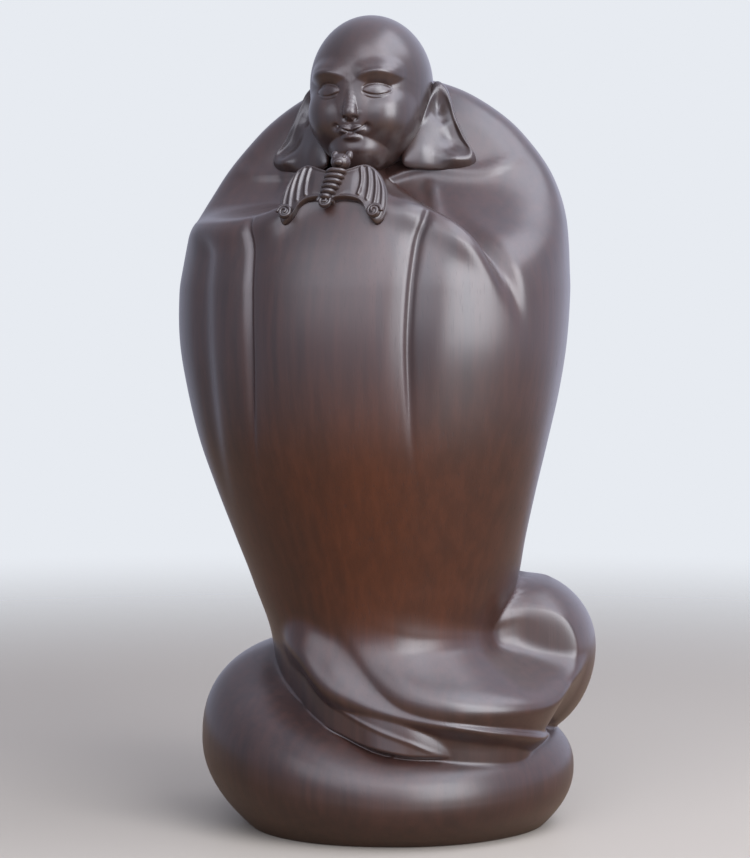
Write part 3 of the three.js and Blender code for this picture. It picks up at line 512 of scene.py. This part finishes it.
def high_places(bearing, place):
    """Places higher up, which keep to the upper edge of the sleeves."""
    drop = (through(SLEEVE_EDGE, 1, bearing) - 1) * SLEEVE_EDGE_HEIGHT
    edge = place_at(SLEEVE_EDGE_HEIGHT)
    share = ease(PLAIN_HEIGHT, edge, place) * (1 - ease(edge, SIDE_LENGTH - 25, place))
    return place + drop * share


# Making meshes

def skin(name, first, rings, last):
    """A closed skin over rings of points, from a first point to a last one."""
    count = rings.shape[1]
    points = np.vstack([[first], rings.reshape(-1, 3), [last]]) * MM
    here = 1 + np.arange(count)
    after = 1 + (np.arange(count) + 1) % count
    end = len(points) - 1
    top = (rings.shape[0] - 1) * count
    faces = [(0, b, a) for a, b in zip(here, after)]
    for row in range(rings.shape[0] - 1):
        low = row * count
        high = low + count
        faces += list(zip(here + low, after + low, after + high, here + high))
    faces += [(end, a, b) for a, b in zip(here + top, after + top)]
    mesh = bpy.data.meshes.new(name)
    mesh.from_pydata(points.tolist(), [], [tuple(map(int, face)) for face in faces])
    mesh.shade_smooth()
    return mesh


def sharp_rims(mesh, *rings):
    """Keeps the edges of flat ends sharp; each ring is its first vertex and its last."""
    for edge in mesh.edges:
        a, b = edge.vertices
        if any(low <= a <= high and low <= b <= high for low, high in rings):
            edge.use_edge_sharp = True
    return mesh


def placed(name, data):
    """A new object in the scene."""
    made = bpy.data.objects.new(name, data)
    bpy.context.collection.objects.link(made)
    return made


def piece(name, mesh, slot, finish, *nodes):
    """A shown piece that stands for CAD nodes."""
    made = placed(name, mesh)
    mesh.materials.append(finish)
    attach(made, "root")
    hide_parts(*nodes)


def joined(name, meshes):
    """Several meshes as one."""
    points, faces = [], []
    for mesh in meshes:
        start = len(points)
        points += [tuple(vertex.co) for vertex in mesh.vertices]
        faces += [tuple(start + i for i in face.vertices) for face in mesh.polygons]
        bpy.data.meshes.remove(mesh)
    whole = bpy.data.meshes.new(name)
    whole.from_pydata(points, [], faces)
    whole.shade_smooth()
    return whole


# Robe and coil

# Finest at the folds in front and at the edges of the roll.
BEARINGS = steps(-180, [(-96, 1.2), (-62, 0.7), (-20, 0.45), (68, 0.7), (108, 0.3), (132, 0.6),
                        (180, 1.2)])[1:]


def robe_mesh():
    joint, hem, rim, plain = low_places(BEARINGS)
    joint = joint + JOINT_HAIRLINE
    runs = [(joint, hem, 36), (hem, rim, 20), (rim, plain, 66)]
    places = [mix(a, b, i / count) for a, b, count in runs for i in range(count)]
    edge = place_at(SLEEVE_EDGE_HEIGHT)
    upper = steps(plain[0], [(edge - 18, 1.8), (edge + 24, 0.8), (SIDE_LENGTH, 1.4)])[:-1]
    places += [high_places(BEARINGS, place) for place in upper]
    rings = np.stack([carved_points(BEARINGS, place) for place in places])
    foot = np.array([0, 0, JOINT_HEIGHT + JOINT_HAIRLINE])
    mesh = skin("robe", foot, rings, np.array([0, 0, ROBE_HEIGHT]))
    return sharp_rims(mesh, (1, len(BEARINGS)))


def base_mesh():
    joint = low_places(BEARINGS)[0] - JOINT_HAIRLINE
    shares = steps(0, [(0.04, 0.01), (0.72, 0.017), (1, 0.01)])
    rings = np.stack([carved_points(BEARINGS, joint * share) for share in shares])
    mesh = skin("base", np.zeros(3), rings, np.array([0, 0, JOINT_HEIGHT - JOINT_HAIRLINE]))
    last = len(mesh.vertices) - 2
    return sharp_rims(mesh, (1, len(BEARINGS)), (last - len(BEARINGS) + 1, last))


# Head

HEAD_MIDDLE = np.array([0, -HEAD_FORWARD, HEAD_TOP - HEAD_HEIGHT / 2])
HALF_HEAD = np.array([HEAD_WIDTH, HEAD_DEPTH, HEAD_HEIGHT]) / 2
CLOSER_AT_FACE = 0.55
# Skull, jaw, cheeks, chin, brows, upper and lower lip: centre and half sizes in shares of the
# head's half sizes, and softness of the join. Those off the middle are on both sides.
HEAD_FORMS = [
    ((0, 0.05, 0.1), (0.97, 0.94, 0.9), 0),
    ((0, -0.16, -0.31), (0.85, 0.74, 0.69), 6),
    ((0.42, -0.42, -0.3), (0.4, 0.42, 0.36), 6),
    ((0, -0.46, -0.7), (0.42, 0.36, 0.3), 10),
    ((0.3, -0.52, 0.2), (0.42, 0.37, 0.2), 4),
    ((0.1, -0.72, -0.5), (0.16, 0.185, 0.08), 1.5),
    ((0, -0.72, -0.6), (0.2, 0.175, 0.08), 1.5),
]


def egg_distance(ray, centre, radii):
    """Distance along rays from the head's middle to the far side of an egg, 0 where they miss it,
    and half the length of each ray inside the egg.
    """
    d, c = ray / radii, np.array(centre) / radii
    along = d @ c
    square = (d * d).sum(-1)
    root = along * along - square * (c @ c - 1)
    chord = np.sqrt(np.maximum(root, 0)) / square
    return np.where(root > 0, np.maximum(along / square + chord, 0), 0), chord


def head_radius(ray):
    """Joins the forms of the head, each join faded out at the form's outline."""
    r = np.zeros(ray.shape[:-1])
    for centre, radii, soft in HEAD_FORMS:
        for side in (1, -1) if centre[0] else (1,):
            middle = np.array(centre) * (side, 1, 1) * HALF_HEAD
            far, chord = egg_distance(ray, middle, np.array(radii) * HALF_HEAD)
            if soft:
                r = mix(r, soft_max(r, far, soft), ease(0, soft, chord))
            else:
                r = np.maximum(r, far)
    return face_detail(ray, nose_radius(ray, r))


def nose_radius(ray, r):
    """A row of eggs down the bridge, then the two wings."""
    for t in np.linspace(0, 1, 9):
        out = 0.8 * HALF_HEAD[1] + NOSE_RISE * (t - 0.4)
        centre = (0, -out, 0.12 * HALF_HEAD[2] - 0.85 * NOSE_LENGTH * t)
        size = mix(0.29, 0.47, t**1.5) * NOSE_WIDTH
        r = soft_max(r, egg_distance(ray, centre, np.full(3, size))[0], 2.2)
    for side in (-1, 1):
        centre = (side * 0.52 * NOSE_WIDTH, -0.79 * HALF_HEAD[1], -0.92 * NOSE_LENGTH + 6)
        r = soft_max(r, egg_distance(ray, centre, np.array([2.9, 3.4, 2.7]))[0], 1.1)
    return r


def face_detail(ray, r):
    """Closed lids, brows, nostrils and the line of the lips, on the front of the head only."""
    x, height = np.abs(ray[..., 0] * r), ray[..., 2] * r
    front = ease(0.1, 0.5, -ray[..., 1])
    across = x - EYE_OUT
    share, up = across / EYE_HALF_WIDTH, height - EYE_HEIGHT
    within = 1 - ease(0.82, 1.1, np.abs(share))
    socket = 1.5 * bell(np.hypot(across / 1.5, up), 5.4)
    lid = 1.9 * clamp01(1 - share**2 - (up / EYE_HALF_HEIGHT) ** 2)
    lash = 0.62 * bell(up + 2.3 - 1.7 * share**2, 0.5) * within
    crease = 0.42 * bell(up - 3.5 + 1.9 * share**2, 0.6) * within
    arch = BROW_HEIGHT - 0.026 * (across - 1) ** 2
    brow = 0.85 * bell(height - arch, 1.5) * bell(across - 0.5, 8.5)
    lips = LIPS_HEIGHT + 0.055 * x * x - 0.5 * bell(x, 1.7)
    mouth = 0.95 * bell(height - lips, 0.6) * (1 - ease(6.6, 8.6, x))
    corner = 0.8 * bell(np.hypot(x - 8.2, height - LIPS_HEIGHT - 2.2), 1.6)
    channel = 0.5 * bell(x, 1.3) * ease(-18.4, -17.2, height) * (1 - ease(-15.4, -14, height))
    nostril = 1.3 * bell(np.hypot(x - 2.5, (height - NOSTRIL_HEIGHT) * 1.3), 1.15)
    under_lip = 0.45 * bell(height - LIPS_HEIGHT + 5.8, 2) * bell(x, 7)
    relief = lid + brow - socket - lash - crease - mouth - corner - channel - nostril - under_lip
    return r + relief * front


def head_point(across, up):
    """A point on the head; the steps across are closest at the face."""
    turn = across - CLOSER_AT_FACE * np.sin(across)
    flat = np.cos(up)
    ray = np.stack([np.sin(turn) * flat, -np.cos(turn) * flat, np.sin(up)], axis=-1)
    return ray * head_radius(ray)[..., None] + HEAD_MIDDLE


def head_mesh():
    across = np.linspace(-math.pi, math.pi, 361)[1:]
    levels = steps(-90, [(-50, 1.6), (24, 0.5), (90, 1.6)])[1:-1] * DEG
    rings = head_point(*np.broadcast_arrays(across[None, :], levels[:, None]))
    return skin("head", head_point(0.0, -math.pi / 2), rings, head_point(0.0, math.pi / 2))


# Plates: ears and wings

def facing(middle, front):
    """A frame whose third axis faces the given way."""
    front = Vector(front).normalized()
    across = Vector((0, 0, 1)).cross(front).normalized()
    up = front.cross(across)
    return np.column_stack([across, up, front]), np.array(middle, float)


def smooth_outline(points, count):
    """A smooth closed curve through points."""
    points = np.array(points, float)
    length = len(points)
    at = np.arange(count) * length / count
    i, t = at.astype(int), (at % 1)[:, None]
    a, b, c, d = (points[(i + k) % length] for k in (-1, 0, 1, 2))
    return 0.5 * (2 * b + (c - a) * t + (2 * a - 5 * b + 4 * c - d) * t**2
                  + (3 * b - a - 3 * c + d) * t**3)


def set_in(frame_at, points):
    """Points given in a frame, in the figure's own place."""
    axes, middle = frame_at
    return np.array(points) @ axes.T + middle


def plate(name, outline, hub, thickness, relief, frame_at, rows):
    """A plate with a rounded edge: its outline drawn in towards a hub, with relief in front."""
    fine = 1 - np.linspace(0, 1, rows) ** 1.35

    def ring(share, front):
        at = hub + (outline - hub) * share
        full = thickness / 2 * math.sqrt(1 - share**6)
        height = full + relief(at, share) if front else np.full(len(at), -full)
        return np.column_stack([at, height])

    rings = [ring(share, False) for share in fine[-2:0:-4]]
    rings += [ring(share, True) for share in fine[:-1]]
    back, top = -thickness / 2, thickness / 2 + relief(hub[None, :], 0)[0]
    first, last = set_in(frame_at, [*hub, back]), set_in(frame_at, [*hub, top])
    return skin(name, first, set_in(frame_at, rings), last)


# In shares of the ear's length.
EAR_OUTLINE = [
    (-0.07, 0.57), (0.04, 0.53), (0.1, 0.38), (0.15, 0.16), (0.25, -0.1), (0.34, -0.28),
    (0.33, -0.37), (0.22, -0.42), (0, -0.43), (-0.25, -0.42), (-0.42, -0.38), (-0.45, -0.28),
    (-0.4, -0.12), (-0.3, 0.08), (-0.2, 0.32),
]


def ear_mesh(side):
    points = np.array(EAR_OUTLINE) * (side, 1) * EAR_LENGTH
    outline = smooth_outline(points[::-1] if side > 0 else points, 200)
    middle = (side * (HEAD_WIDTH / 2 + EAR_OUT), EAR_BACK, -EAR_DROP) + HEAD_MIDDLE
    frame_at = facing(middle, (side * EAR_FACING[0], *EAR_FACING[1:]))

    def relief(at, share):
        x, y = at[:, 0] * side / EAR_LENGTH, at[:, 1] / EAR_LENGTH
        upper = ease(0.02, 0.16, y)
        bowl = 3.4 * bell(np.hypot((x + 0.045) * 1.5, y - 0.27), 0.13)
        rim = 1.3 * bell(share - 0.84, 0.13) * upper
        notch = 0.9 * bell(np.hypot(x, (y - 0.13) * 1.2), 0.06)
        outer = 1.7 * bell(share - 0.83, 0.12) * ease(-0.05, 0.12, x) * (1 - upper)
        hollow = 2.2 * bell(np.hypot((x - 0.06 + 0.3 * y) * 1.5, y + 0.1), 0.17)
        bulge = 2.2 * bell(np.hypot(x - 0.1, (y + 0.3) * 1.5), 0.15)
        inner = 1.1 * bell(np.hypot((x + 0.24) * 1.6, y + 0.2), 0.18)
        return rim + outer + bulge + inner - bowl - notch - hollow

    return plate("ear", outline, np.array([-0.01 * side, 0.02]) * EAR_LENGTH, EAR_THICKNESS,
                 relief, frame_at, rows=60)


# Bat

BAT_FRONT = (0, -math.cos(BAT_LEAN * DEG), math.sin(BAT_LEAN * DEG))
BAT_AT = facing((0, -BAT_OUT, BAT_HEIGHT), BAT_FRONT)
# In shares of half the span and of the wing's height.
WING_HUB = (0.5, 0.1)
WING_OUTLINE = [
    (-0.06, 0.26), (0.12, 0.3), (0.3, 0.36), (0.46, 0.42), (0.6, 0.43), (0.76, 0.34),
    (0.9, 0.16), (0.99, -0.06), (1.02, -0.3), (0.98, -0.5), (0.86, -0.6), (0.72, -0.5),
    (0.62, -0.33), (0.5, -0.24), (0.36, -0.21), (0.2, -0.2), (0.06, -0.22), (-0.06, -0.24),
]
# Ribs of the wing, from their upper ends to their lower ones.
RIBS = [((0.86, 0.2), (0.93, -0.4)), ((0.74, 0.3), (0.8, -0.3)), ((0.61, 0.36), (0.66, -0.2)),
        ((0.48, 0.36), (0.5, -0.12))]


def wing_mesh(side):
    size = np.array([side * BAT_SPAN / 2, BAT_WING_HEIGHT])
    points = np.array(WING_OUTLINE) * size
    outline = smooth_outline(points[::-1] if side > 0 else points, 240)
    hub = np.array(WING_HUB) * size
    ribs = [(np.array(top) * size, np.array(foot) * size) for top, foot in RIBS]

    def relief(at, share):
        fingers = np.zeros(len(at))
        for top, foot in ribs:
            run = foot - top
            t = clamp01((at - top) @ run / (run @ run))
            bow = (4 * t * (1 - t))[:, None] * np.array([side * BAT_RIB_BOW, 0])
            bowed = top + t[:, None] * run + bow
            away = np.hypot(*(at - bowed).T)
            fingers = np.maximum(fingers, BAT_RIB_RISE * bell(away, BAT_RIB_WIDTH))
        rim = 1.3 * bell(share - 0.9, 0.1)
        hollow = 0.8 * ease(0.34, 0.5, np.abs(at[:, 0]) * 2 / BAT_SPAN) * bell(share, 0.7)
        return soft_max(fingers, rim, 0.4) - hollow - BAT_WING_BOW * at[:, 0] ** 2

    return plate("wing", outline, hub, BAT_WING_THICKNESS, relief, BAT_AT, rows=50)


def bat_egg(centre, radii):
    across = np.linspace(-math.pi, math.pi, 49)[1:]
    levels = np.linspace(-90, 90, 25)[1:-1] * DEG
    turn, up = np.broadcast_arrays(across[None, :], levels[:, None])
    ray = np.stack([np.sin(turn) * np.cos(up), -np.cos(turn) * np.cos(up), np.sin(up)], axis=-1)
    centre, radii = np.array(centre, float), np.array(radii, float)
    foot, top = (set_in(BAT_AT, np.array([0, 0, way]) * radii + centre) for way in (-1, 1))
    return skin("egg", foot, set_in(BAT_AT, ray * radii + centre), top)


def scroll(centre, radius, turns, side, rise):
    """A curled end: a thin bead wound in towards its middle."""
    along = np.linspace(0, 1, 70)
    wind = along * turns * 2 * math.pi
    reach = radius * (1 - 0.82 * along)
    bead = mix(0.95, 0.55, along) * radius / 3.5
    x, y = side * reach * np.cos(wind), reach * np.sin(wind)
    path = np.column_stack([x, y, rise * along]) + centre
    ahead = np.gradient(path, axis=0)
    ahead /= np.linalg.norm(ahead, axis=1)[:, None]
    across = np.cross(ahead, (0, 0, 1))
    across /= np.linalg.norm(across, axis=1)[:, None]
    over = np.cross(across, ahead)
    turn = np.linspace(0, 2 * math.pi, 15)[:-1]
    ring = (np.cos(turn)[None, :, None] * across[:, None]
            + np.sin(turn)[None, :, None] * over[:, None])
    rings = path[:, None] + ring * bead[:, None, None]
    foot, body, top = (set_in(BAT_AT, points) for points in (path[0], rings, path[-1]))
    return skin("scroll", foot, body, top)


def bat_mesh():
    """Two wings, a body of six rings, a head with ears and eyes, and three curled ends."""
    def along(y):
        """A point on the slanting line of the body."""
        return np.array([y * math.tan(BAT_BODY_ANGLE * DEG), y + 0.1 * BAT_BODY_LENGTH, 0])

    meshes = [wing_mesh(1), wing_mesh(-1)]
    for t in np.linspace(0, 1, 6):
        half = BAT_BODY_WIDTH / 2 * (1 - 0.4 * t * t)
        centre = along(mix(0.27, -0.4, t) * BAT_BODY_LENGTH)
        meshes.append(bat_egg(centre + (0, 0, 3), (half, 1.9, 4.0)))
    # Head and snout, then ears, eyes and the curls of the wings, then the tail's curl.
    crown = along(0.54 * BAT_BODY_LENGTH)
    head = BAT_HEAD_WIDTH / 2
    meshes.append(bat_egg(crown + (0, 0, 3.2), (0.92 * head, 4.1, 4.4)))
    meshes.append(bat_egg(crown + (0, -1.9, 6.1), (2.6, 1.7, 2.2)))
    curl = BAT_CURL_WIDTH / 2
    for side in (-1, 1):
        meshes.append(bat_egg(crown + (side * 3.6, 3.7, 2.6), (1.8, 2.4, 1.8)))
        meshes.append(bat_egg(crown + (side * 2.3, 0.8, 6.4), (1.1, 0.9, 0.9)))
        wing_curl = np.array([side * 0.42 * BAT_SPAN, -0.44 * BAT_WING_HEIGHT, 1.4])
        meshes.append(bat_egg(wing_curl, (curl - 0.4, curl - 0.4, 2.2)))
        meshes.append(scroll(wing_curl + (0, 0, 0.8), curl + 0.1, 1.7, side, 1.8))
    tail = along(-0.5 * BAT_BODY_LENGTH) + (0, 0, 2.6)
    meshes.append(bat_egg(tail, (curl - 0.4, curl - 0.4, 2.2)))
    meshes.append(scroll(tail + (0, 0, 0.8), curl, 1.8, -1, 1.9))
    return joined("bat", meshes)


# Materials; from here on, lengths are in metres

def maths(operation, swapped=False):
    """A method that makes a Math node of a value and what follows it, or the reverse."""
    def method(self, *others):
        values = (*others, self) if swapped else (self, *others)
        return self.paint.node("ShaderNodeMath", {"operation": operation}, dict(enumerate(values)))
    return method


class Shade:
    """A value or colour in a material's nodes, with arithmetic on values."""

    def __init__(self, paint, socket):
        self.paint, self.socket = paint, socket

    __add__, __radd__ = maths("ADD"), maths("ADD", True)
    __sub__, __rsub__ = maths("SUBTRACT"), maths("SUBTRACT", True)
    __mul__, __rmul__ = maths("MULTIPLY"), maths("MULTIPLY", True)
    __truediv__, __rtruediv__ = maths("DIVIDE"), maths("DIVIDE", True)
    __pow__, __rpow__ = maths("POWER"), maths("POWER", True)
    at_least, at_most, sine = maths("MAXIMUM"), maths("MINIMUM"), maths("SINE")

    def limited(self):
        return self.at_least(0).at_most(1)

    def from_to(self, start, end):
        """0 at start, 1 at end, smooth between."""
        return self.paint.node("ShaderNodeMapRange", {"interpolation_type": "SMOOTHSTEP"},
                               {"Value": self, "From Min": start, "From Max": end}, "Result")


class Paint:
    """The nodes of a material or of the world, made as they are asked for."""

    def __init__(self, owner):
        self.owner = owner
        owner.use_nodes = True
        self.tree = owner.node_tree

    def node(self, kind, settings=None, sockets=None, output=0):
        made = self.tree.nodes.new(kind)
        for key, value in (settings or {}).items():
            setattr(made, key, value)
        self.fill(made, sockets or {})
        return Shade(self, made.outputs[output])

    def fill(self, made, sockets):
        for key, value in sockets.items():
            if isinstance(value, Shade):
                self.tree.links.new(value.socket, made.inputs[key])
            else:
                made.inputs[key].default_value = value

    def finish(self, end, sockets):
        """Fills the node where the paint ends, and gives back what is painted."""
        self.fill(self.tree.nodes[end], sockets)
        return self.owner

    def split(self, vector):
        """The three numbers of a vector."""
        made = self.node("ShaderNodeSeparateXYZ", None, {"Vector": vector})
        outputs = made.socket.node.outputs
        return [Shade(self, outputs[k]) for k in range(3)]

    def place(self, scale=(1, 1, 1)):
        """The point on the surface, in metres, stretched by scale."""
        at = self.node("ShaderNodeTexCoord", output="Object")
        if scale == (1, 1, 1):
            return at
        return self.node("ShaderNodeVectorMath", {"operation": "MULTIPLY"}, {0: at, 1: scale})

    def noise(self, stretch, size, detail, rough=0.5):
        """Grain drawn out upright: the smaller its stretch, the longer the streaks."""
        return self.node("ShaderNodeTexNoise", None, {
            "Vector": self.place((1, 1, stretch)), "Scale": size, "Detail": detail,
            "Roughness": rough}, "Fac")

    def blend(self, share, first, second):
        """One colour to another by a share from 0 to 1."""
        return self.node("ShaderNodeMix", {"data_type": "RGBA"},
                         {0: share, 6: first, 7: second}, 2)

    def bump(self, height, distance):
        return self.node("ShaderNodeBump", None, {"Height": height, "Distance": distance},
                         "Normal")


PORE_COLOUR = (0.012, 0.007, 0.006, 1)
TREE_HEART = (-0.35, 0.11)
RING_COUNT = 900
GRAIN_DEPTH = 0.00004
SHEEN_LOW, SHEEN_RISE = 0.4, 0.35
SHEEN_HEIGHTS = (0.03, 0.08)
SHEEN_ROUGHNESS = 0.3
# The redder patch, partly painted board reflection: fades above and below, middle, half width.
PATCH_TOP = (0.24, 0.165)
PATCH_FOOT = (0.08, 0.12)
PATCH_MIDDLE = 0.012
PATCH_HALF_WIDTH = 0.085


def ebony(name, dark, brown, roughness, red=None):
    """Polished ebony: upright streaks and pores, growth rings, less sheen near the floor, and,
    where a red is given, a redder and duller patch low in front: partly the wood's own redder
    tone, partly a painted reflection of the brown board below.
    """
    paint = Paint(bpy.data.materials.new(name))
    x, y, z = paint.split(paint.place())
    wander = paint.noise(0.25, 9, 2)
    out = ((x - TREE_HEART[0]) ** 2 + (y - TREE_HEART[1]) ** 2) ** 0.5 + (wander - 0.5) * 0.03
    rings = (out * RING_COUNT).sine()
    streaks = paint.noise(0.035, 260, 4, 0.6)
    broad = paint.noise(0.12, 30, 3, 0.55)
    fibres = paint.noise(0.02, 900, 2)
    pores = paint.noise(0.045, 1300, 1, 0.4).from_to(0.63, 0.74)
    tone = (broad.from_to(0.3, 0.72) * 0.45 + streaks.from_to(0.35, 0.7) * 0.4
            + rings * 0.06 + 0.06).limited()
    colour = paint.blend(tone, dark, brown)
    coat = SHEEN_LOW + z.from_to(*SHEEN_HEIGHTS) * SHEEN_RISE
    if red:
        # Partly the wood's redder tone, partly painted reflection of the brown board.
        front = (0.02 - y).from_to(0.0, 0.075)
        lower = z.from_to(*PATCH_TOP) * z.from_to(*PATCH_FOOT)
        across = (1 - ((x - PATCH_MIDDLE) / PATCH_HALF_WIDTH) ** 2).limited()
        red_tone_and_reflection = (front * lower * across * (broad * 0.7 + 0.62)).limited()
        glow = paint.blend(tone, tuple(0.55 * c for c in red[:3]) + (1,), red)
        colour = paint.blend(red_tone_and_reflection, colour, glow)
        coat = coat * (1 - red_tone_and_reflection * 0.9)
    colour = paint.blend(pores * 0.22, colour, PORE_COLOUR)
    gloss = roughness + (broad - 0.5) * 0.1 + (fibres - 0.5) * 0.06 + pores * 0.12
    grain = fibres * 0.35 + streaks * 0.3 - pores * 0.5
    return paint.finish("Principled BSDF", {
        "Base Color": colour, "Roughness": gloss, "Normal": paint.bump(grain, GRAIN_DEPTH),
        "Coat Weight": coat, "Coat Roughness": SHEEN_ROUGHNESS,
    })


def beech(name):
    """Plain unfinished beech for the dowels inside the joints."""
    paint = Paint(bpy.data.materials.new(name))
    flecks = paint.noise(0.15, 700, 3)
    colour = paint.blend(flecks, (0.36, 0.2, 0.09, 1), (0.5, 0.3, 0.15, 1))
    return paint.finish("Principled BSDF", {
        "Base Color": colour, "Roughness": 0.62 + flecks * 0.1,
        "Normal": paint.bump(flecks, 0.00005)})


# The robe's red patch low in front is partly painted reflection of the brown board.
robe_ebony = ebony("robe ebony", (0.019, 0.0095, 0.0085, 1), (0.05, 0.021, 0.016, 1), 0.38,
                   red=(0.074, 0.02, 0.007, 1))
head_ebony = ebony("head ebony", (0.02, 0.0115, 0.0105, 1), (0.045, 0.021, 0.016, 1), 0.33)
bat_ebony = ebony("bat ebony", (0.018, 0.0105, 0.0095, 1), (0.04, 0.02, 0.015, 1), 0.34)
dowel_beech = beech("dowel beech")


# The figure

piece("robe", robe_mesh(), "robe_ebony", robe_ebony, "robe_body")
piece("coil", base_mesh(), "robe_ebony", robe_ebony, "train_base")
piece("monk_head", joined("monk_head", [head_mesh(), ear_mesh(1), ear_mesh(-1)]),
      "head_ebony", head_ebony, "head")
piece("bat", bat_mesh(), "bat_ebony", bat_ebony, "bat_ornament")
for node, shown in frame["nodes"].items():
    if "dowel" in node or "peg" in node:
        for slot in shown.material_slots:
            slot.material = dowel_beech


# Floor, light and camera

FLOOR_SEEN = (0.5, 0.455, 0.4, 1)
FLOOR_MIRRORED = (0.34, 0.24, 0.17, 1)
FLOOR_REACH = 3.0
FLOOR_FADE = (1.5, 0.45)
ROOM_COLOUR = (0.76, 0.79, 1.0, 1)
ROOM_BRIGHT, ROOM_DIM = 1.2, 0.55
ROOM_LIGHT = ((0.82, 0.86, 1.0, 1), 0.32)
BACKDROP = ((0.8, 0.83, 0.88, 1), 1.0)
# Name, place, what it points at, width, height, watts, colour.
SOFTBOXES = [
    ("right window", (1.45, -1.15, 0.8), (0, 0, 0.2), 1.3, 1.6, 42, (0.93, 0.95, 1.0)),
    ("camera side", (-0.2, -1.8, 1.0), (0, 0, 0.25), 1.8, 1.1, 13, (0.88, 0.9, 1.0)),
    ("overhead", (0.9, 0.0, 1.58), (0, 0, 0.1), 1.2, 1.0, 14, (0.85, 0.88, 1.0)),
    ("front", (0.6, -1.1, 1.6), (0, 0, 0.2), 1.6, 1.1, 14, (0.88, 0.9, 1.0)),
]
# The picture's height and the focal length are in pixels, the angles in degrees.
PICTURE_HEIGHT = 858
FOCAL_LENGTH = 2502
SENSOR_HEIGHT = 36
CAMERA_BEARING = 18
CAMERA_AWAY = 1.265
CAMERA_HEIGHT = 0.255
CAMERA_DOWN = 2.53
CAMERA_ASIDE = 0.3


def floor():
    """A wide floor that fades out far from the figure. The camera sees it pale; its light on the
    figure, and its image in the polish, are those of a darker wooden board.
    """
    mesh = bpy.data.meshes.new("floor")
    count = 96
    turn = [2 * math.pi * i / count for i in range(count)]
    points = [(FLOOR_REACH * math.cos(a), FLOOR_REACH * math.sin(a), 0) for a in turn]
    mesh.from_pydata(points, [], [tuple(range(count))])
    made = placed("floor", mesh)
    paint = Paint(bpy.data.materials.new("floor"))
    x, y, _ = paint.split(paint.place())
    out = (x * x + y * y) ** 0.5
    seen = paint.node("ShaderNodeLightPath", output="Is Camera Ray")
    mesh.materials.append(paint.finish("Principled BSDF", {
        "Base Color": paint.blend(seen, FLOOR_MIRRORED, FLOOR_SEEN),
        "Roughness": 0.6, "Specular IOR Level": 0.2, "Alpha": out.from_to(*FLOOR_FADE)}))


def world():
    """A pale room. What the polish mirrors is bright to the right and dimmer to the left, its
    light on the figure is even and faint, and the camera sees a plain backdrop.
    """
    room = Paint(bpy.data.worlds.new("room"))
    x, _, z = room.split(room.node("ShaderNodeTexCoord", output="Generated"))
    dim = (x + z * 0.3).from_to(0.6, -0.8)
    camera_ray, glossy_ray = (room.node("ShaderNodeLightPath", output=kind)
                              for kind in ("Is Camera Ray", "Is Glossy Ray"))

    def glow(colour, strength):
        return room.node("ShaderNodeBackground", None, {"Color": colour, "Strength": strength})

    def either(share, first, second):
        return room.node("ShaderNodeMixShader", None, {0: share, 1: first, 2: second})

    mirrored = either(dim, glow(ROOM_COLOUR, ROOM_BRIGHT), glow(ROOM_COLOUR, ROOM_DIM))
    lit = either(glossy_ray, glow(*ROOM_LIGHT), mirrored)
    bpy.context.scene.world = room.finish("World Output", {
        "Surface": either(camera_ray, lit, glow(*BACKDROP))})


def softbox(name, place, target, width, height, watts, colour):
    data = bpy.data.lights.new(name, "AREA")
    data.shape = "RECTANGLE"
    data.size, data.size_y = width, height
    data.energy, data.color = watts, colour
    made = placed(name, data)
    made.location = place
    way = Vector(target) - Vector(place)
    made.rotation_euler = way.to_track_quat("-Z", "Y").to_euler()


def camera():
    """The camera where the photograph was taken from."""
    data = bpy.data.cameras.new("camera")
    data.sensor_fit = "VERTICAL"
    data.sensor_height = SENSOR_HEIGHT
    data.lens = SENSOR_HEIGHT * FOCAL_LENGTH / PICTURE_HEIGHT
    made = placed("camera", data)
    turn = CAMERA_BEARING * DEG
    made.location = (math.sin(turn) * CAMERA_AWAY, -math.cos(turn) * CAMERA_AWAY, CAMERA_HEIGHT)
    made.rotation_euler = ((90 - CAMERA_DOWN) * DEG, 0, turn + CAMERA_ASIDE * DEG)
    bpy.context.scene.camera = made


floor()
world()
for row in SOFTBOXES:
    softbox(*row)
camera()
bpy.context.scene.view_settings.view_transform = "Standard"
